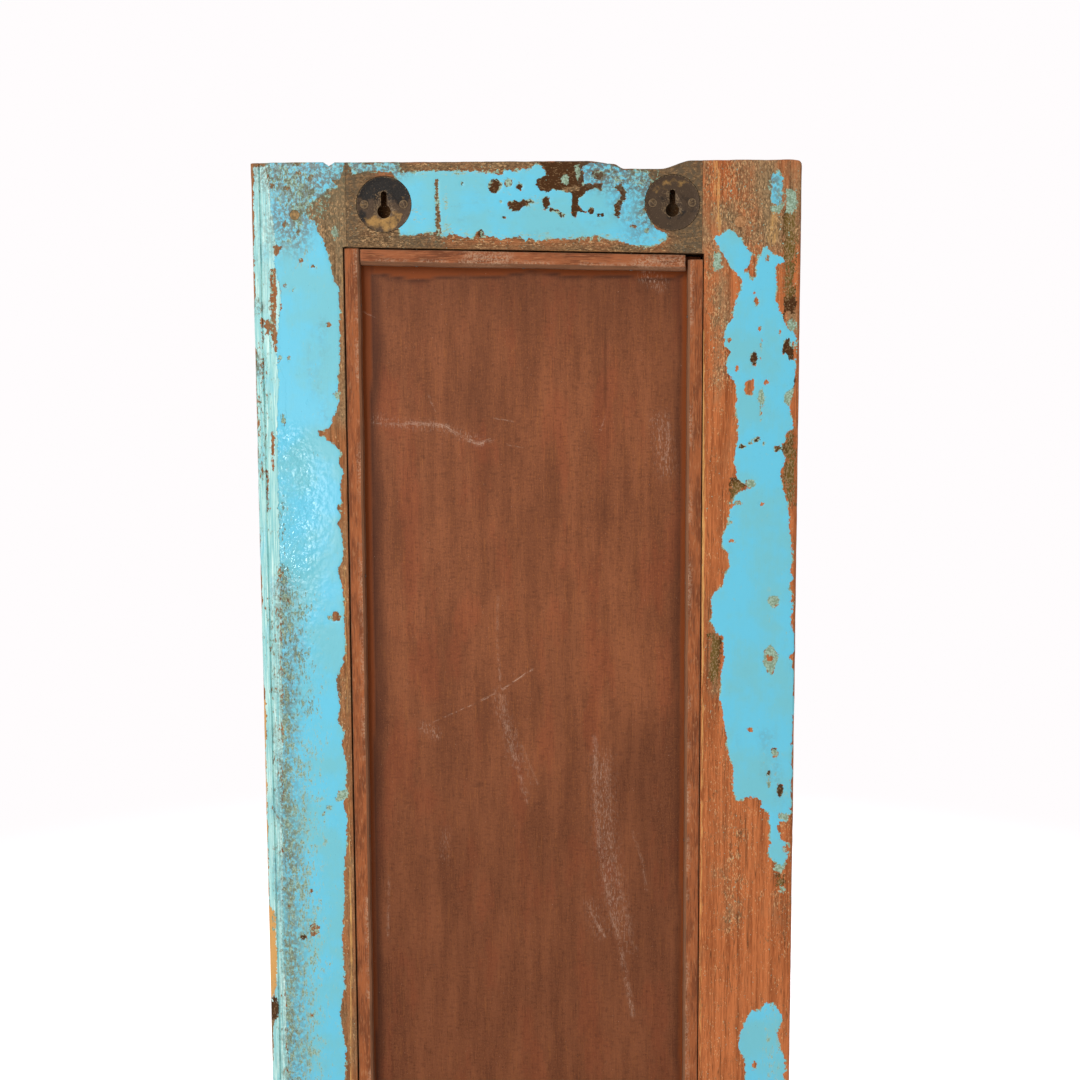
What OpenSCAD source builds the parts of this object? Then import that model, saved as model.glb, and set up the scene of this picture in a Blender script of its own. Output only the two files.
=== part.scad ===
// Wall mirror in a frame that was once one leaf of a pegged shutter.
// The frame has two full-height stiles and two rails with pegged through tenons.
// A rebate in its back holds the glass, a backboard and four pinned beads.
// +X is the meeting stile, +Y points to the wall and +Z is up.
// The origin lies on the back face, midway across, at the height where the wall screws seat.

/* [Frame] */
// Width over both stiles
frame_w = 440; // [400:1:540]
// Height of the stiles
frame_h = 900; // [700:1:1300]
// Thickness from the front face to the back face
frame_t = 36; // [34:0.5:44]
// Width of the meeting stile at its joints
meeting_stile_w = 76.5; // [68:0.5:88]
// Width of the hanging stile at its joints
hanging_stile_w = 79; // [68:0.5:88]
// Height of the top rail where it meets the meeting stile
top_rail_h = 67; // [64:0.5:80]
// How much taller the top rail is where it meets the hanging stile
top_rail_taper = 6.5; // [0:0.5:9]
// Height of the bottom rail
bottom_rail_h = 80; // [66:0.5:110]

/* [Rebate] */
// Depth of the rebate from the back face
rebate_depth = 24; // [22:0.5:25]
// How far the rebate is cut into the meeting stile, past its joints
meeting_overcut = 3; // [0.5:0.5:5]
// How far the rebate is cut into the hanging stile, past its joints
hanging_overcut = 1.5; // [0.5:0.5:5]
// Width of the lip that holds the glass at the front
lip_w = 9; // [8:0.5:12]
// Radius of the quarter round along the lip
ovolo_r = 7; // [4:0.5:7.5]
// Step between the front face and the quarter round
ovolo_step = 1.2; // [0.5:0.1:1.4]

/* [Joints] */
// Thickness of each tenon
tenon_t = 11; // [8:0.5:12]
// Height of each tenon
tenon_h = 46; // [36:0.5:48]
// Distance from the end of a stile to the near side of its mortise
tenon_margin = 12; // [10:0.5:15]
// Gap around a tenon and at its shoulders
joint_gap = 0.2; // [0.1:0.05:0.4]
// Depth of a tenon's end below the outer side of its stile
tenon_recess = 0.5; // [0:0.1:2]
// Diameter of the pegs in the meeting stile
meeting_peg_d = 8; // [6:0.5:10]
// Diameter of the pegs in the hanging stile
hanging_peg_d = 9.5; // [6:0.5:10]
// Distance from a peg to the inner side of the meeting stile
meeting_peg_inset = 41; // [22:0.5:46]
// Distance from a peg to the inner side of the hanging stile
hanging_peg_inset = 30.5; // [22:0.5:46]
// Distance from the end of the meeting stile to its pegs
meeting_peg_drop = 41.5; // [30:0.5:48]
// Distance from the end of the hanging stile to its pegs
hanging_peg_drop = 48.5; // [30:0.5:50]
// Depth of a peg's ends below the faces of the frame
peg_recess = 0.3; // [0.1:0.1:1]

/* [Wear] */
// Width of the worn strip along the outer side of the meeting stile
strip_w = 16; // [11:0.5:22]
// How far the worn strip falls away at the outer side
strip_fall = 2.2; // [1:0.1:3]
// Distance from the outer side to the groove in the worn strip
groove_inset = 7.6; // [6.5:0.1:9]
// Width of that groove
groove_w = 1.6; // [0.8:0.1:2.4]
// Depth of that groove
groove_depth = 1.2; // [0.6:0.1:2]
// Radius of the meeting stile's worn outer edge at the back
meeting_round = 3.5; // [2:0.5:5]
// Radius of the hanging stile's worn outer edge at the back
hanging_round = 2.5; // [1:0.5:5]
// Radius of the outer edges at the front
front_round = 1.5; // [0.5:0.5:4]
// Radius of the hanging stile's worn top corner
corner_round = 5; // [2:0.5:8]
// Depth of the hollow worn into the top of the top rail
scallop_depth = 6.4; // [2:0.1:7]
// Length of that hollow
scallop_len = 82; // [60:1:90]
// Distance from that hollow to the hanging stile
scallop_inset = 9; // [4:0.5:20]
// Depth of the notch in the top of the meeting stile
notch_depth = 3; // [1:0.5:5]
// Width of that notch
notch_w = 9; // [4:0.5:12]
// Distance from that notch to the inner side of the meeting stile
notch_inset = 13; // [8:0.5:20]

/* [Glass and board] */
// Thickness of the mirror glass
glass_t = 4; // [3:0.5:5]
// Thickness of the backboard
board_t = 5; // [4:0.5:6]
// Play between the glass or the backboard and the walls of the rebate
pane_play = 1.5; // [1:0.1:3]

/* [Beads] */
// Width of the beads at the sides and at the bottom
bead_w = 12.5; // [10:0.5:15]
// Width of the bead under the top rail
top_bead_w = 13; // [11:0.5:16]
// Depth of the beads below the back face
bead_recess = 2.5; // [1:0.5:4]
// Bevel along the inner edge of the side beads and of the bottom bead
bead_bevel = 1.6; // [0.5:0.1:3]
// Bevel along the inner edge of the top bead
top_bead_bevel = 3; // [1:0.1:4]
// Gap between the meeting stile and its bead
meeting_bead_gap = 0.7; // [0.2:0.1:0.9]
// Gap between the hanging stile and its bead, and at the ends of the beads
bead_gap = 0.4; // [0.2:0.1:0.9]
// Gap between the top rail and its bead
top_bead_gap = 0.9; // [0.3:0.1:0.9]
// How far the bead on the hanging stile stops short of the top rail
short_end = 4.5; // [1:0.5:8]

/* [Pins] */
// Diameter of the pins that hold the beads
pin_d = 1.4; // [1.2:0.1:2]
// Length of a pin
pin_l = 22; // [18:0.5:26]
// Diameter of a pin's head
pin_head_d = 2.6; // [2.2:0.1:3.2]
// Thickness of a pin's head
pin_head_t = 0.6; // [0.4:0.1:1]
// Number of pins in each side bead
side_pins = 4; // [3:1:6]
// Number of pins in the top bead and in the bottom bead
end_pins = 3; // [2:1:4]
// Distance from the end of a bead to its first pin
pin_margin = 45; // [30:1:80]

/* [Hangers] */
// Distance from a hanger's middle to the inner side of the meeting stile
meeting_hanger_inset = 30.5; // [26:0.5:50]
// Distance from a hanger's middle to the inner side of the hanging stile
hanging_hanger_inset = 24; // [24:0.5:50]
// Distance from the top of the frame to where the wall screws seat
seat_drop = 25.5; // [24:0.5:32]
// Diameter of a hanger plate
plate_d = 44; // [40:0.5:46]
// Thickness of a hanger plate
plate_t = 1.6; // [1.2:0.1:2.5]
// Depth of a hanger plate's face below the back face
plate_recess = 0.7; // [0.6:0.1:1.5]
// Play between the rim of a hanger plate and its seat
plate_play = 0.2; // [0.1:0.05:0.4]
// Distance from where the wall screw seats down to the plate's middle
plate_drop = 8; // [6:0.5:10]
// Distance from where the wall screw seats down to the entry hole
entry_drop = 13.6; // [12:0.2:16]
// Diameter of the entry hole, which takes the wall screw's head
entry_d = 10.8; // [9:0.2:12]
// Width of the slot, which takes the wall screw's shank
slot_w = 4.8; // [4.4:0.1:6]
// Width of the pocket behind a hanger plate, where the wall screw's head travels
pocket_w = 18; // [14:0.5:20]
// Depth of that pocket from the back face
pocket_depth = 12; // [8:0.5:14]

/* [Hanger screws] */
// Distance between the two screws of a hanger
screw_spacing = 31.4; // [29:0.2:34]
// Diameter of a screw's head
screw_head_d = 6.8; // [6:0.1:7.4]
// Height of the dome of a screw's head
screw_dome = 0.5; // [0.2:0.1:0.6]
// Diameter of a screw's shank
screw_d = 3; // [2.4:0.1:3.4]
// Length of a screw's shank
screw_l = 12; // [8:0.5:16]
// Length of a screw's point
screw_point_l = 3; // [2:0.5:5]
// Width of the slot in a screw's head
screw_slot_w = 0.8; // [0.6:0.1:1.2]
// Depth of the slot in a screw's head
screw_slot_depth = 0.7; // [0.4:0.1:1]

/* [Hidden] */
$fn = 64;

// How far a cutter runs past the face that it opens
past = 1;
// Play around a pin, a peg or a screw in its hole
fit_play = 0.05;

edge_x = frame_w / 2;
z_top = seat_drop;
z_bottom = z_top - frame_h;

// Joint lines, and the walls of the rebate behind them
meeting_x = edge_x - meeting_stile_w;
hanging_x = hanging_stile_w - edge_x;
meeting_wall = meeting_x + meeting_overcut;
hanging_wall = hanging_x - hanging_overcut;
low_wall = z_bottom + bottom_rail_h;
rail_slope = atan(top_rail_taper / (meeting_x - hanging_x));

// Front edges of the rails, and the opening in front of the glass
top_front = top_wall(hanging_x);
sight_meeting = meeting_x - lip_w;
sight_hanging = hanging_x + lip_w;
sight_top = top_front - lip_w;
sight_bottom = low_wall + lip_w;

glass_y = -rebate_depth;
board_y = glass_y + glass_t;
bead_y = board_y + board_t;
pin_y = (bead_y - bead_recess) / 2;

meeting_bead_x = meeting_wall - meeting_bead_gap - bead_w;
hanging_bead_x = hanging_wall + bead_gap + bead_w;
side_bead_foot = low_wall + bead_gap;
meeting_bead_top = top_wall(meeting_bead_x) - bead_gap;
hanging_bead_top = top_wall(hanging_wall) - short_end;

tenon_y = -frame_t / 2;
top_tenon = z_top - tenon_margin - tenon_h;
bottom_tenon = z_bottom + tenon_margin;
meeting_peg_x = meeting_x + meeting_peg_inset;
hanging_peg_x = hanging_x - hanging_peg_inset;

meeting_hanger = meeting_x - meeting_hanger_inset;
hanging_hanger = hanging_x + hanging_hanger_inset;
plate_back = -plate_recess - plate_t;
screw_end = -plate_recess - screw_l;
screw_hole_d = screw_d + 2 * fit_play;
head_hole_d = screw_head_d + 2 * fit_play;

wood = "peru";
paint = "mediumturquoise";
stain = "saddlebrown";
old_brass = "darkgoldenrod";

// Height of the top rail's lower edge at x
function top_wall(x) = z_top - top_rail_h - (meeting_x - x) * tan(rail_slope);

// Share from 0 to 1 that starts and ends gently
function ease(t) = let (s = min(1, max(0, t))) s * s * (3 - 2 * s);

// Depth of the worn hollow, from its start at 0 to its end at 1
function scallop(t) = scallop_depth * (0.4 * ease(t / 0.28) + 0.6 * ease((t - 0.25) / 0.1))
    * (1 - ease((t - 0.7) / 0.3));

// Points of an arc about the point c, from angle a0 to angle a1
function arc(c, r, a0, a1) = [
    for (i = [0:6]) let (a = a0 + (a1 - a0) * i / 6) c + r * [cos(a), sin(a)]
];

// Places of count things, from first to last
function spread(first, last, count) = [for (i = [0:count - 1]) first + (last - first) * i / (count - 1)];

// Extrudes an outline drawn in X and Z from depth y0 to depth y1
module along_y(y0, y1) {
    translate([0, y1, 0]) rotate([90, 0, 0]) linear_extrude(y1 - y0) children();
}

// Round bar along Y
module bar_y(x, z, d, y0, y1) {
    translate([x, y1, z]) rotate([90, 0, 0]) cylinder(d = d, h = y1 - y0);
}

// Waste outside the quarter round, drawn with X towards the wood and Y towards the back
module ovolo_waste() {
    difference() {
        translate([-past, -frame_t - past]) square([ovolo_r + past, past + ovolo_step + ovolo_r]);
        translate([ovolo_r, -frame_t + ovolo_step + ovolo_r]) circle(ovolo_r);
    }
}

// Waste of a quarter round along a stile, from its sight edge towards side 1 or -1
module ovolo_upright(sight_x, side) {
    translate([sight_x, 0, low_wall]) linear_extrude(top_front - low_wall)
        mirror([side < 0 ? 1 : 0, 0]) ovolo_waste();
}

// Waste of a quarter round along a rail, from its sight edge towards side 1 or -1
module ovolo_level(sight_z, side) {
    translate([hanging_x, 0, sight_z]) rotate([90, 0, 90]) linear_extrude(meeting_x - hanging_x)
        mirror([1, -1]) mirror([side < 0 ? 1 : 0, 0]) ovolo_waste();
}

// Lip of a stile, mitred at both ends, from the joint line to the sight edge
module stile_lip(joint_x, sight_x, side) {
    along_y(-frame_t, -rebate_depth) polygon([
        [joint_x, top_front], [sight_x, sight_top], [sight_x, sight_bottom], [joint_x, low_wall],
        [joint_x + side * past, low_wall], [joint_x + side * past, top_front]
    ]);
}

// Waste of the rebate in a stile, from inside the opening to its wall
module stile_rebate(joint_x, wall_x, side) {
    along_y(-rebate_depth, past) polygon([
        [joint_x - side * past, low_wall], [wall_x, low_wall],
        [wall_x, top_wall(wall_x)], [joint_x - side * past, top_wall(joint_x - side * past)]
    ]);
}

// Slot for a tenon, from x0 to x1, over a tenon whose lower side is at z
module mortise(x0, x1, z) {
    translate([x0, tenon_y - tenon_t / 2 - joint_gap, z - joint_gap])
        cube([x1 - x0, tenon_t + 2 * joint_gap, tenon_h + 2 * joint_gap]);
}

// Both tenons of a rail, which start inside the rail
module tenons(z) {
    root = 5;
    x0 = tenon_recess - edge_x;
    for (run = [[x0, hanging_x + root], [meeting_x - root, edge_x - tenon_recess]])
        translate([run[0], tenon_y - tenon_t / 2, z]) cube([run[1] - run[0], tenon_t, tenon_h]);
}

// Peg through a joint
module peg(x, z, d) {
    color(wood) bar_y(x, z, d, peg_recess - frame_t, -peg_recess);
}

// Holes for the pegs at one side of the frame
module peg_holes(x, d, drop) {
    for (z = [z_top - drop, z_bottom + drop])
        bar_y(x, z, d + 2 * fit_play, -frame_t - past, past);
}

// Pin that starts at its head and points along +Z
module pin() {
    point_l = 2 * pin_d;
    rotate_extrude() polygon([
        [0, 0], [pin_head_d / 2, 0], [pin_head_d / 2, pin_head_t], [pin_d / 2, pin_head_t],
        [pin_d / 2, pin_l - point_l], [0, pin_l]
    ]);
}

// Hole for a pin and for its head
module pin_hole() {
    cylinder(d = pin_d + 2 * fit_play, h = pin_l + fit_play);
    translate([0, 0, -past]) cylinder(d = pin_head_d + 2 * fit_play, h = past + pin_head_t);
}

// Puts the children at each pin of the bead on the meeting stile
module at_meeting_pins() {
    for (z = spread(side_bead_foot + pin_margin, meeting_bead_top - pin_margin, side_pins))
        translate([meeting_bead_x, pin_y, z]) rotate([0, 90, 0]) children();
}

// Puts the children at each pin of the bead on the hanging stile
module at_hanging_pins() {
    for (z = spread(side_bead_foot + pin_margin, hanging_bead_top - pin_margin, side_pins))
        translate([hanging_bead_x, pin_y, z]) rotate([0, -90, 0]) children();
}

// Puts the children at each pin of the top bead
module at_top_pins() {
    for (x = spread(hanging_bead_x + pin_margin, meeting_bead_x - pin_margin, end_pins))
        translate([x, pin_y, top_wall(x) - top_bead_gap - top_bead_w]) children();
}

// Puts the children at each pin of the bottom bead
module at_bottom_pins() {
    for (x = spread(hanging_bead_x + pin_margin, meeting_bead_x - pin_margin, end_pins))
        translate([x, pin_y, side_bead_foot + bead_w]) rotate([180, 0, 0]) children();
}

// Bead along a stile, from its inner edge towards side 1 or -1
module side_bead(inner_x, side, top) {
    translate([inner_x, 0, side_bead_foot]) linear_extrude(top - side_bead_foot)
        mirror([side < 0 ? 1 : 0, 0]) polygon([
            [0, bead_y], [bead_w, bead_y], [bead_w, -bead_recess], [bead_bevel, -bead_recess],
            [0, -bead_recess - bead_bevel]
        ]);
}

// Bead along a rail. Its edges at the wall lie at heights z0 and z1, and it runs towards side 1 or -1
module cross_bead(z0, z1, side, width, bevel) {
    x0 = hanging_bead_x + bead_gap;
    x1 = meeting_bead_x - bead_gap;
    inner = side * width;
    cut = bevel * sqrt(2);
    difference() {
        along_y(bead_y, -bead_recess)
            polygon([[x0, z0], [x1, z1], [x1, z1 + inner], [x0, z0 + inner]]);
        translate([x0, -bead_recess, z0 + inner]) rotate([0, -atan((z1 - z0) / (x1 - x0)), 0])
            rotate([45, 0, 0]) translate([-past, -cut / 2, -cut / 2]) cube([x1 - x0 + 3 * past, cut, cut]);
    }
}

// Seat of a hanger plate in the top rail, with the pocket behind it and the screw holes
module hanger_seat(x) {
    bar_y(x, -plate_drop, plate_d + 2 * plate_play, plate_back, past);
    for (z = [0, -entry_drop]) bar_y(x, z, pocket_w, -pocket_depth, past);
    translate([x - pocket_w / 2, -pocket_depth, -entry_drop])
        cube([pocket_w, pocket_depth + past, entry_drop]);
    for (side = [-1, 1])
        bar_y(x + side * screw_spacing / 2, -plate_drop, screw_hole_d, screw_end - fit_play, past);
}

// Round plate with a keyhole and two countersunk holes
module hanger_plate(x) {
    color(old_brass) difference() {
        bar_y(x, -plate_drop, plate_d, plate_back, -plate_recess);
        bar_y(x, -entry_drop, entry_d, plate_back - past, past);
        bar_y(x, 0, slot_w, plate_back - past, past);
        translate([x - slot_w / 2, plate_back - past, -entry_drop])
            cube([slot_w, plate_t + 2 * past, entry_drop]);
        for (side = [-1, 1]) translate([x + side * screw_spacing / 2, -plate_recess, -plate_drop]) {
            rotate([90, 0, 0]) cylinder(d1 = head_hole_d, d2 = screw_hole_d, h = plate_t);
            rotate([-90, 0, 0]) cylinder(d = head_hole_d, h = past);
            rotate([90, 0, 0]) cylinder(d = screw_hole_d, h = plate_t + past);
        }
    }
}

// Countersunk screw with a domed and slotted head, at side 1 or -1 of the hanger at x
module hanger_screw(x, side) {
    head_r = screw_head_d / 2;
    dome_r = (head_r * head_r + screw_dome * screw_dome) / (2 * screw_dome);
    dome_turn = asin(head_r / dome_r);
    dome = [
        for (i = [0:6]) let (a = dome_turn * i / 6) [dome_r * sin(a), dome_r * (1 - cos(a)) - screw_dome]
    ];
    color(old_brass) translate([x + side * screw_spacing / 2, -plate_recess, -plate_drop]) rotate([90, 0, 0])
        difference() {
            rotate_extrude() polygon(concat(dome, [
                [screw_d / 2, plate_t], [screw_d / 2, screw_l - screw_point_l], [0, screw_l]
            ]));
            translate([-head_r - past, -screw_slot_w / 2, -screw_dome - past])
                cube([2 * head_r + 2 * past, screw_slot_w, past + screw_slot_depth]);
        }
}

// Frame member along the meeting side, with the worn strip and its groove
module meeting_stile() {
    round_x = edge_x - meeting_round;
    strip_x = edge_x - strip_w;
    groove_x = edge_x - groove_inset;
    notch_x = meeting_x + notch_inset;
    function strip_y(x) = -strip_fall * (x - strip_x) / (round_x - strip_x);
    color(paint) difference() {
        union() {
            translate([0, 0, z_bottom]) linear_extrude(frame_h) polygon(concat(
                [[meeting_x, 0], [meeting_x, -frame_t]],
                arc([edge_x - front_round, front_round - frame_t], front_round, -90, 0),
                arc([round_x, -strip_fall - meeting_round], meeting_round, 0, 90),
                [for (i = [1, 0, -1]) let (x = groove_x + i * groove_w / 2)
                    [x, strip_y(x) - (i == 0 ? groove_depth : 0)]],
                [[strip_x, 0]]
            ));
            stile_lip(meeting_x, sight_meeting, 1);
        }
        stile_rebate(meeting_x, meeting_wall, 1);
        ovolo_upright(sight_meeting, 1);
        for (z = [top_tenon, bottom_tenon]) mortise(meeting_x - past, edge_x + past, z);
        peg_holes(meeting_peg_x, meeting_peg_d, meeting_peg_drop);
        at_meeting_pins() pin_hole();
        along_y(-frame_t - past, past) polygon([
            [notch_x - notch_w / 2, z_top + past], [notch_x - notch_w / 2, z_top],
            [notch_x, z_top - notch_depth],
            [notch_x + notch_w / 2, z_top], [notch_x + notch_w / 2, z_top + past]
        ]);
    }
}

// Frame member along the hanging side, with a worn top corner
module hanging_stile() {
    color(paint) difference() {
        union() {
            intersection() {
                translate([0, 0, z_bottom]) linear_extrude(frame_h) polygon(concat(
                    [[hanging_x, -frame_t], [hanging_x, 0]],
                    arc([hanging_round - edge_x, -hanging_round], hanging_round, 90, 180),
                    arc([front_round - edge_x, front_round - frame_t], front_round, 180, 270)
                ));
                along_y(-frame_t - past, past) polygon(concat(
                    [[hanging_x + past, z_bottom - past], [hanging_x + past, z_top]],
                    arc([corner_round - edge_x, z_top - corner_round], corner_round, 90, 180),
                    [[-edge_x, z_bottom - past]]
                ));
            }
            stile_lip(hanging_x, sight_hanging, -1);
        }
        stile_rebate(hanging_x, hanging_wall, -1);
        ovolo_upright(sight_hanging, -1);
        for (z = [top_tenon, bottom_tenon]) mortise(-edge_x - past, hanging_x + past, z);
        peg_holes(hanging_peg_x, hanging_peg_d, hanging_peg_drop);
        at_hanging_pins() pin_hole();
    }
}

// Rail at the top, with the worn hollow and the seats of the hangers
module top_rail() {
    x0 = hanging_x + joint_gap;
    x1 = meeting_x - joint_gap;
    steps = 24;
    color(paint) difference() {
        union() {
            along_y(-frame_t, 0) polygon(concat(
                [[x0, z_top]],
                [for (i = [0:steps])
                    [hanging_x + scallop_inset + scallop_len * i / steps, z_top - scallop(1 - i / steps)]],
                [[x1, z_top], [x1, top_front], [sight_meeting - joint_gap, sight_top],
                    [sight_hanging + joint_gap, sight_top], [x0, top_front]]
            ));
            tenons(top_tenon);
        }
        along_y(-rebate_depth, past) polygon([
            [hanging_x, top_wall(hanging_x)], [meeting_x, top_wall(meeting_x)],
            [meeting_x, sight_top - past], [hanging_x, sight_top - past]
        ]);
        ovolo_level(sight_top, 1);
        peg_holes(meeting_peg_x, meeting_peg_d, meeting_peg_drop);
        peg_holes(hanging_peg_x, hanging_peg_d, hanging_peg_drop);
        at_top_pins() pin_hole();
        for (x = [meeting_hanger, hanging_hanger]) hanger_seat(x);
    }
}

// Rail at the bottom
module bottom_rail() {
    x0 = hanging_x + joint_gap;
    x1 = meeting_x - joint_gap;
    color(paint) difference() {
        union() {
            along_y(-frame_t, 0) polygon([
                [x0, z_bottom], [x1, z_bottom], [x1, low_wall], [sight_meeting - joint_gap, sight_bottom],
                [sight_hanging + joint_gap, sight_bottom], [x0, low_wall]
            ]);
            tenons(bottom_tenon);
        }
        along_y(-rebate_depth, past) polygon([
            [hanging_x, low_wall], [meeting_x, low_wall],
            [meeting_x, sight_bottom + past], [hanging_x, sight_bottom + past]
        ]);
        ovolo_level(sight_bottom, -1);
        peg_holes(meeting_peg_x, meeting_peg_d, meeting_peg_drop);
        peg_holes(hanging_peg_x, hanging_peg_d, hanging_peg_drop);
        at_bottom_pins() pin_hole();
    }
}

// Peg through the joint of the top rail and the meeting stile
module peg_top_meeting() {
    peg(meeting_peg_x, z_top - meeting_peg_drop, meeting_peg_d);
}

// Peg through the joint of the top rail and the hanging stile
module peg_top_hanging() {
    peg(hanging_peg_x, z_top - hanging_peg_drop, hanging_peg_d);
}

// Peg through the joint of the bottom rail and the meeting stile
module peg_bottom_meeting() {
    peg(meeting_peg_x, z_bottom + meeting_peg_drop, meeting_peg_d);
}

// Peg through the joint of the bottom rail and the hanging stile
module peg_bottom_hanging() {
    peg(hanging_peg_x, z_bottom + hanging_peg_drop, hanging_peg_d);
}

// Sheet from the glass or the backboard, between two depths
module pane(y0, y1) {
    x0 = hanging_wall + pane_play;
    z0 = low_wall + pane_play;
    translate([x0, y0, z0])
        cube([meeting_wall - pane_play - x0, y1 - y0, top_wall(hanging_wall) - pane_play - z0]);
}

// Silvered glass, which rests against the lips of the frame
module mirror_glass() {
    color("lightsteelblue") pane(glass_y, board_y);
}

// Stained board behind the glass
module backboard() {
    color(stain) pane(board_y, bead_y);
}

// Bead under the top rail, parallel to its sloping edge
module bead_top() {
    x0 = hanging_bead_x + bead_gap;
    x1 = meeting_bead_x - bead_gap;
    color(stain) difference() {
        cross_bead(top_wall(x0) - top_bead_gap, top_wall(x1) - top_bead_gap, -1, top_bead_w, top_bead_bevel);
        at_top_pins() pin_hole();
    }
}

// Bead above the bottom rail
module bead_bottom() {
    color(stain) difference() {
        cross_bead(side_bead_foot, side_bead_foot, 1, bead_w, bead_bevel);
        at_bottom_pins() pin_hole();
    }
}

// Bead along the meeting stile
module bead_meeting_side() {
    color(stain) difference() {
        side_bead(meeting_bead_x, 1, meeting_bead_top);
        at_meeting_pins() pin_hole();
    }
}

// Bead along the hanging stile, which stops short of the top rail
module bead_hanging_side() {
    color(stain) difference() {
        side_bead(hanging_bead_x, -1, hanging_bead_top);
        at_hanging_pins() pin_hole();
    }
}

// Pins of the bead under the top rail
module pins_top() {
    color("dimgray") at_top_pins() pin();
}

// Pins of the bead above the bottom rail
module pins_bottom() {
    color("dimgray") at_bottom_pins() pin();
}

// Pins of the bead along the meeting stile
module pins_meeting_side() {
    color("dimgray") at_meeting_pins() pin();
}

// Pins of the bead along the hanging stile
module pins_hanging_side() {
    color("dimgray") at_hanging_pins() pin();
}

meeting_stile();
hanging_stile();
top_rail();
bottom_rail();
peg_top_meeting();
peg_top_hanging();
peg_bottom_meeting();
peg_bottom_hanging();
mirror_glass();
backboard();
bead_top();
bead_bottom();
bead_meeting_side();
bead_hanging_side();
pins_top();
pins_bottom();
pins_meeting_side();
pins_hanging_side();
hanger_plate(meeting_hanger);  // hanger_plate_meeting
hanger_plate(hanging_hanger);  // hanger_plate_hanging
hanger_screw(meeting_hanger, 1);  // screw_meeting_outer
hanger_screw(meeting_hanger, -1);  // screw_meeting_inner
hanger_screw(hanging_hanger, 1);  // screw_hanging_inner
hanger_screw(hanging_hanger, -1);  // screw_hanging_outer
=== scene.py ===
"""Looks of a wall mirror whose frame was once a pegged shutter leaf, seen from the side that faces the wall.

Sizes are in millimetres in the row frame: +X is the meeting stile, +Y points to the wall and +Z is up.
Meshes are made in metres in that same frame.
"""
import logging
import math
from collections.abc import Callable, Sequence
from dataclasses import dataclass, field
from enum import Enum
from typing import NamedTuple

import bmesh
import bpy
import numpy as np
from mathutils import Matrix, Vector


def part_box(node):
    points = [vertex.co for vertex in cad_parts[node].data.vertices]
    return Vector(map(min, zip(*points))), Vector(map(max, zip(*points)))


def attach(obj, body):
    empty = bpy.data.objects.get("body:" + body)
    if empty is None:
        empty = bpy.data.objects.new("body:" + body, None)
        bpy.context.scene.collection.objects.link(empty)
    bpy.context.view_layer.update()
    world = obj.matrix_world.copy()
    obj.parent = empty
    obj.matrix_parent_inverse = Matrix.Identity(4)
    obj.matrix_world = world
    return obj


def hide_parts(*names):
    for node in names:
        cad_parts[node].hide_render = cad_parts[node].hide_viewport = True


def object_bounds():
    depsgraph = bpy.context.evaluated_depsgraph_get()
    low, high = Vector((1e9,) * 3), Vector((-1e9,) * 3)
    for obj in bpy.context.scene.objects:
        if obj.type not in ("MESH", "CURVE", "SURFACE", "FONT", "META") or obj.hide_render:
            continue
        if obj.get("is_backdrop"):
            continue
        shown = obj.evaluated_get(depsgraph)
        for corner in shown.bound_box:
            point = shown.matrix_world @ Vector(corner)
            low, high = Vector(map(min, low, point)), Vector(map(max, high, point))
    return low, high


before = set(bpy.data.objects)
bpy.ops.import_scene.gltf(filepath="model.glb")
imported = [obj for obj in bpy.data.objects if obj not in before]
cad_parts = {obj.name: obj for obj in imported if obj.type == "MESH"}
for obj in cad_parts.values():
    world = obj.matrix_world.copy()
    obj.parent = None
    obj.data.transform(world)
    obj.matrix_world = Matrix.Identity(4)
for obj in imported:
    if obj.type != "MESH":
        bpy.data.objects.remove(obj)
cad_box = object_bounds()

log = logging.getLogger("mirror")

MM = 0.001
BODY = "root"
# Distance in millimetres below which two places count as the same
NEAR = 0.01

Array = np.ndarray
Point = tuple[float, float]
Spot = tuple[float, float, float]
Outline = tuple[Point, ...]
Piece = bpy.types.Object
Finish = bpy.types.Material
Socket = bpy.types.NodeSocket
Colour = Socket | str


class Side(Enum):
    """Side of the frame, as the sign of X."""

    MEETING = 1
    HANGING = -1


class Grain(Enum):
    """Direction of the wood's fibres, as how far a pattern is drawn out along X, Y and Z."""

    UPRIGHT = (1.0, 1.0, 0.06)
    LEVEL = (0.06, 1.0, 1.0)

    def drawn(self, pull: float) -> Spot:
        """How far a pattern is drawn out, from not at all at a pull of 0 to the length of the fibres at 1."""
        return tuple(share**pull for share in self.value)


class Coat(Enum):
    """What shows on a frame member, from the wood outwards. The value names the attribute that maps it."""

    PRIMER = "coat_primer"
    UNDERCOAT = "coat_under"
    OLD = "coat_old"
    TOP = "coat_top"


class Stain(Enum):
    """A soft mark on a frame member. The value names the attribute that maps it."""

    SPECKLE = "speckle"
    TAN = "tan"
    GRIME = "grime"
    OLIVE = "olive"
    FLECK = "fleck"
    OCHRE = "ochre"
    DABS = "dabs"
# Raw ochre wood, and painted highlights along lit arrises


class BoardMark(Enum):
    """A mark on the backboard. The value names the attribute that maps it."""

    # Painted shade beside and under the beads, with dark spots, a crack and a darker bottom
    DARK_BAND = "dark_band"
    STAIN_EDGE = "stain_edge"
    WET_LINE = "wet_line"
    SCUFF = "scuff"
    SCRATCH_OFF = "scratch_off"
    SCRATCH_RUN = "scratch_run"
    SCRATCH_WIDTH = "scratch_w"
    SCRATCH_STRENGTH = "scratch_on"


SCRATCH_MARKS = (
    BoardMark.SCRATCH_OFF, BoardMark.SCRATCH_RUN, BoardMark.SCRATCH_WIDTH, BoardMark.SCRATCH_STRENGTH,
)


class Oval(NamedTuple):
    """A small patch, as the box around it in photo pixels."""

    left: float
    top: float
    right: float
    low: float


class Stroke(NamedTuple):
    """A soft mark along a line of photo pixels, as wide as its reach to either side."""

    line: Outline
    reach: float
    strength: float


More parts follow.
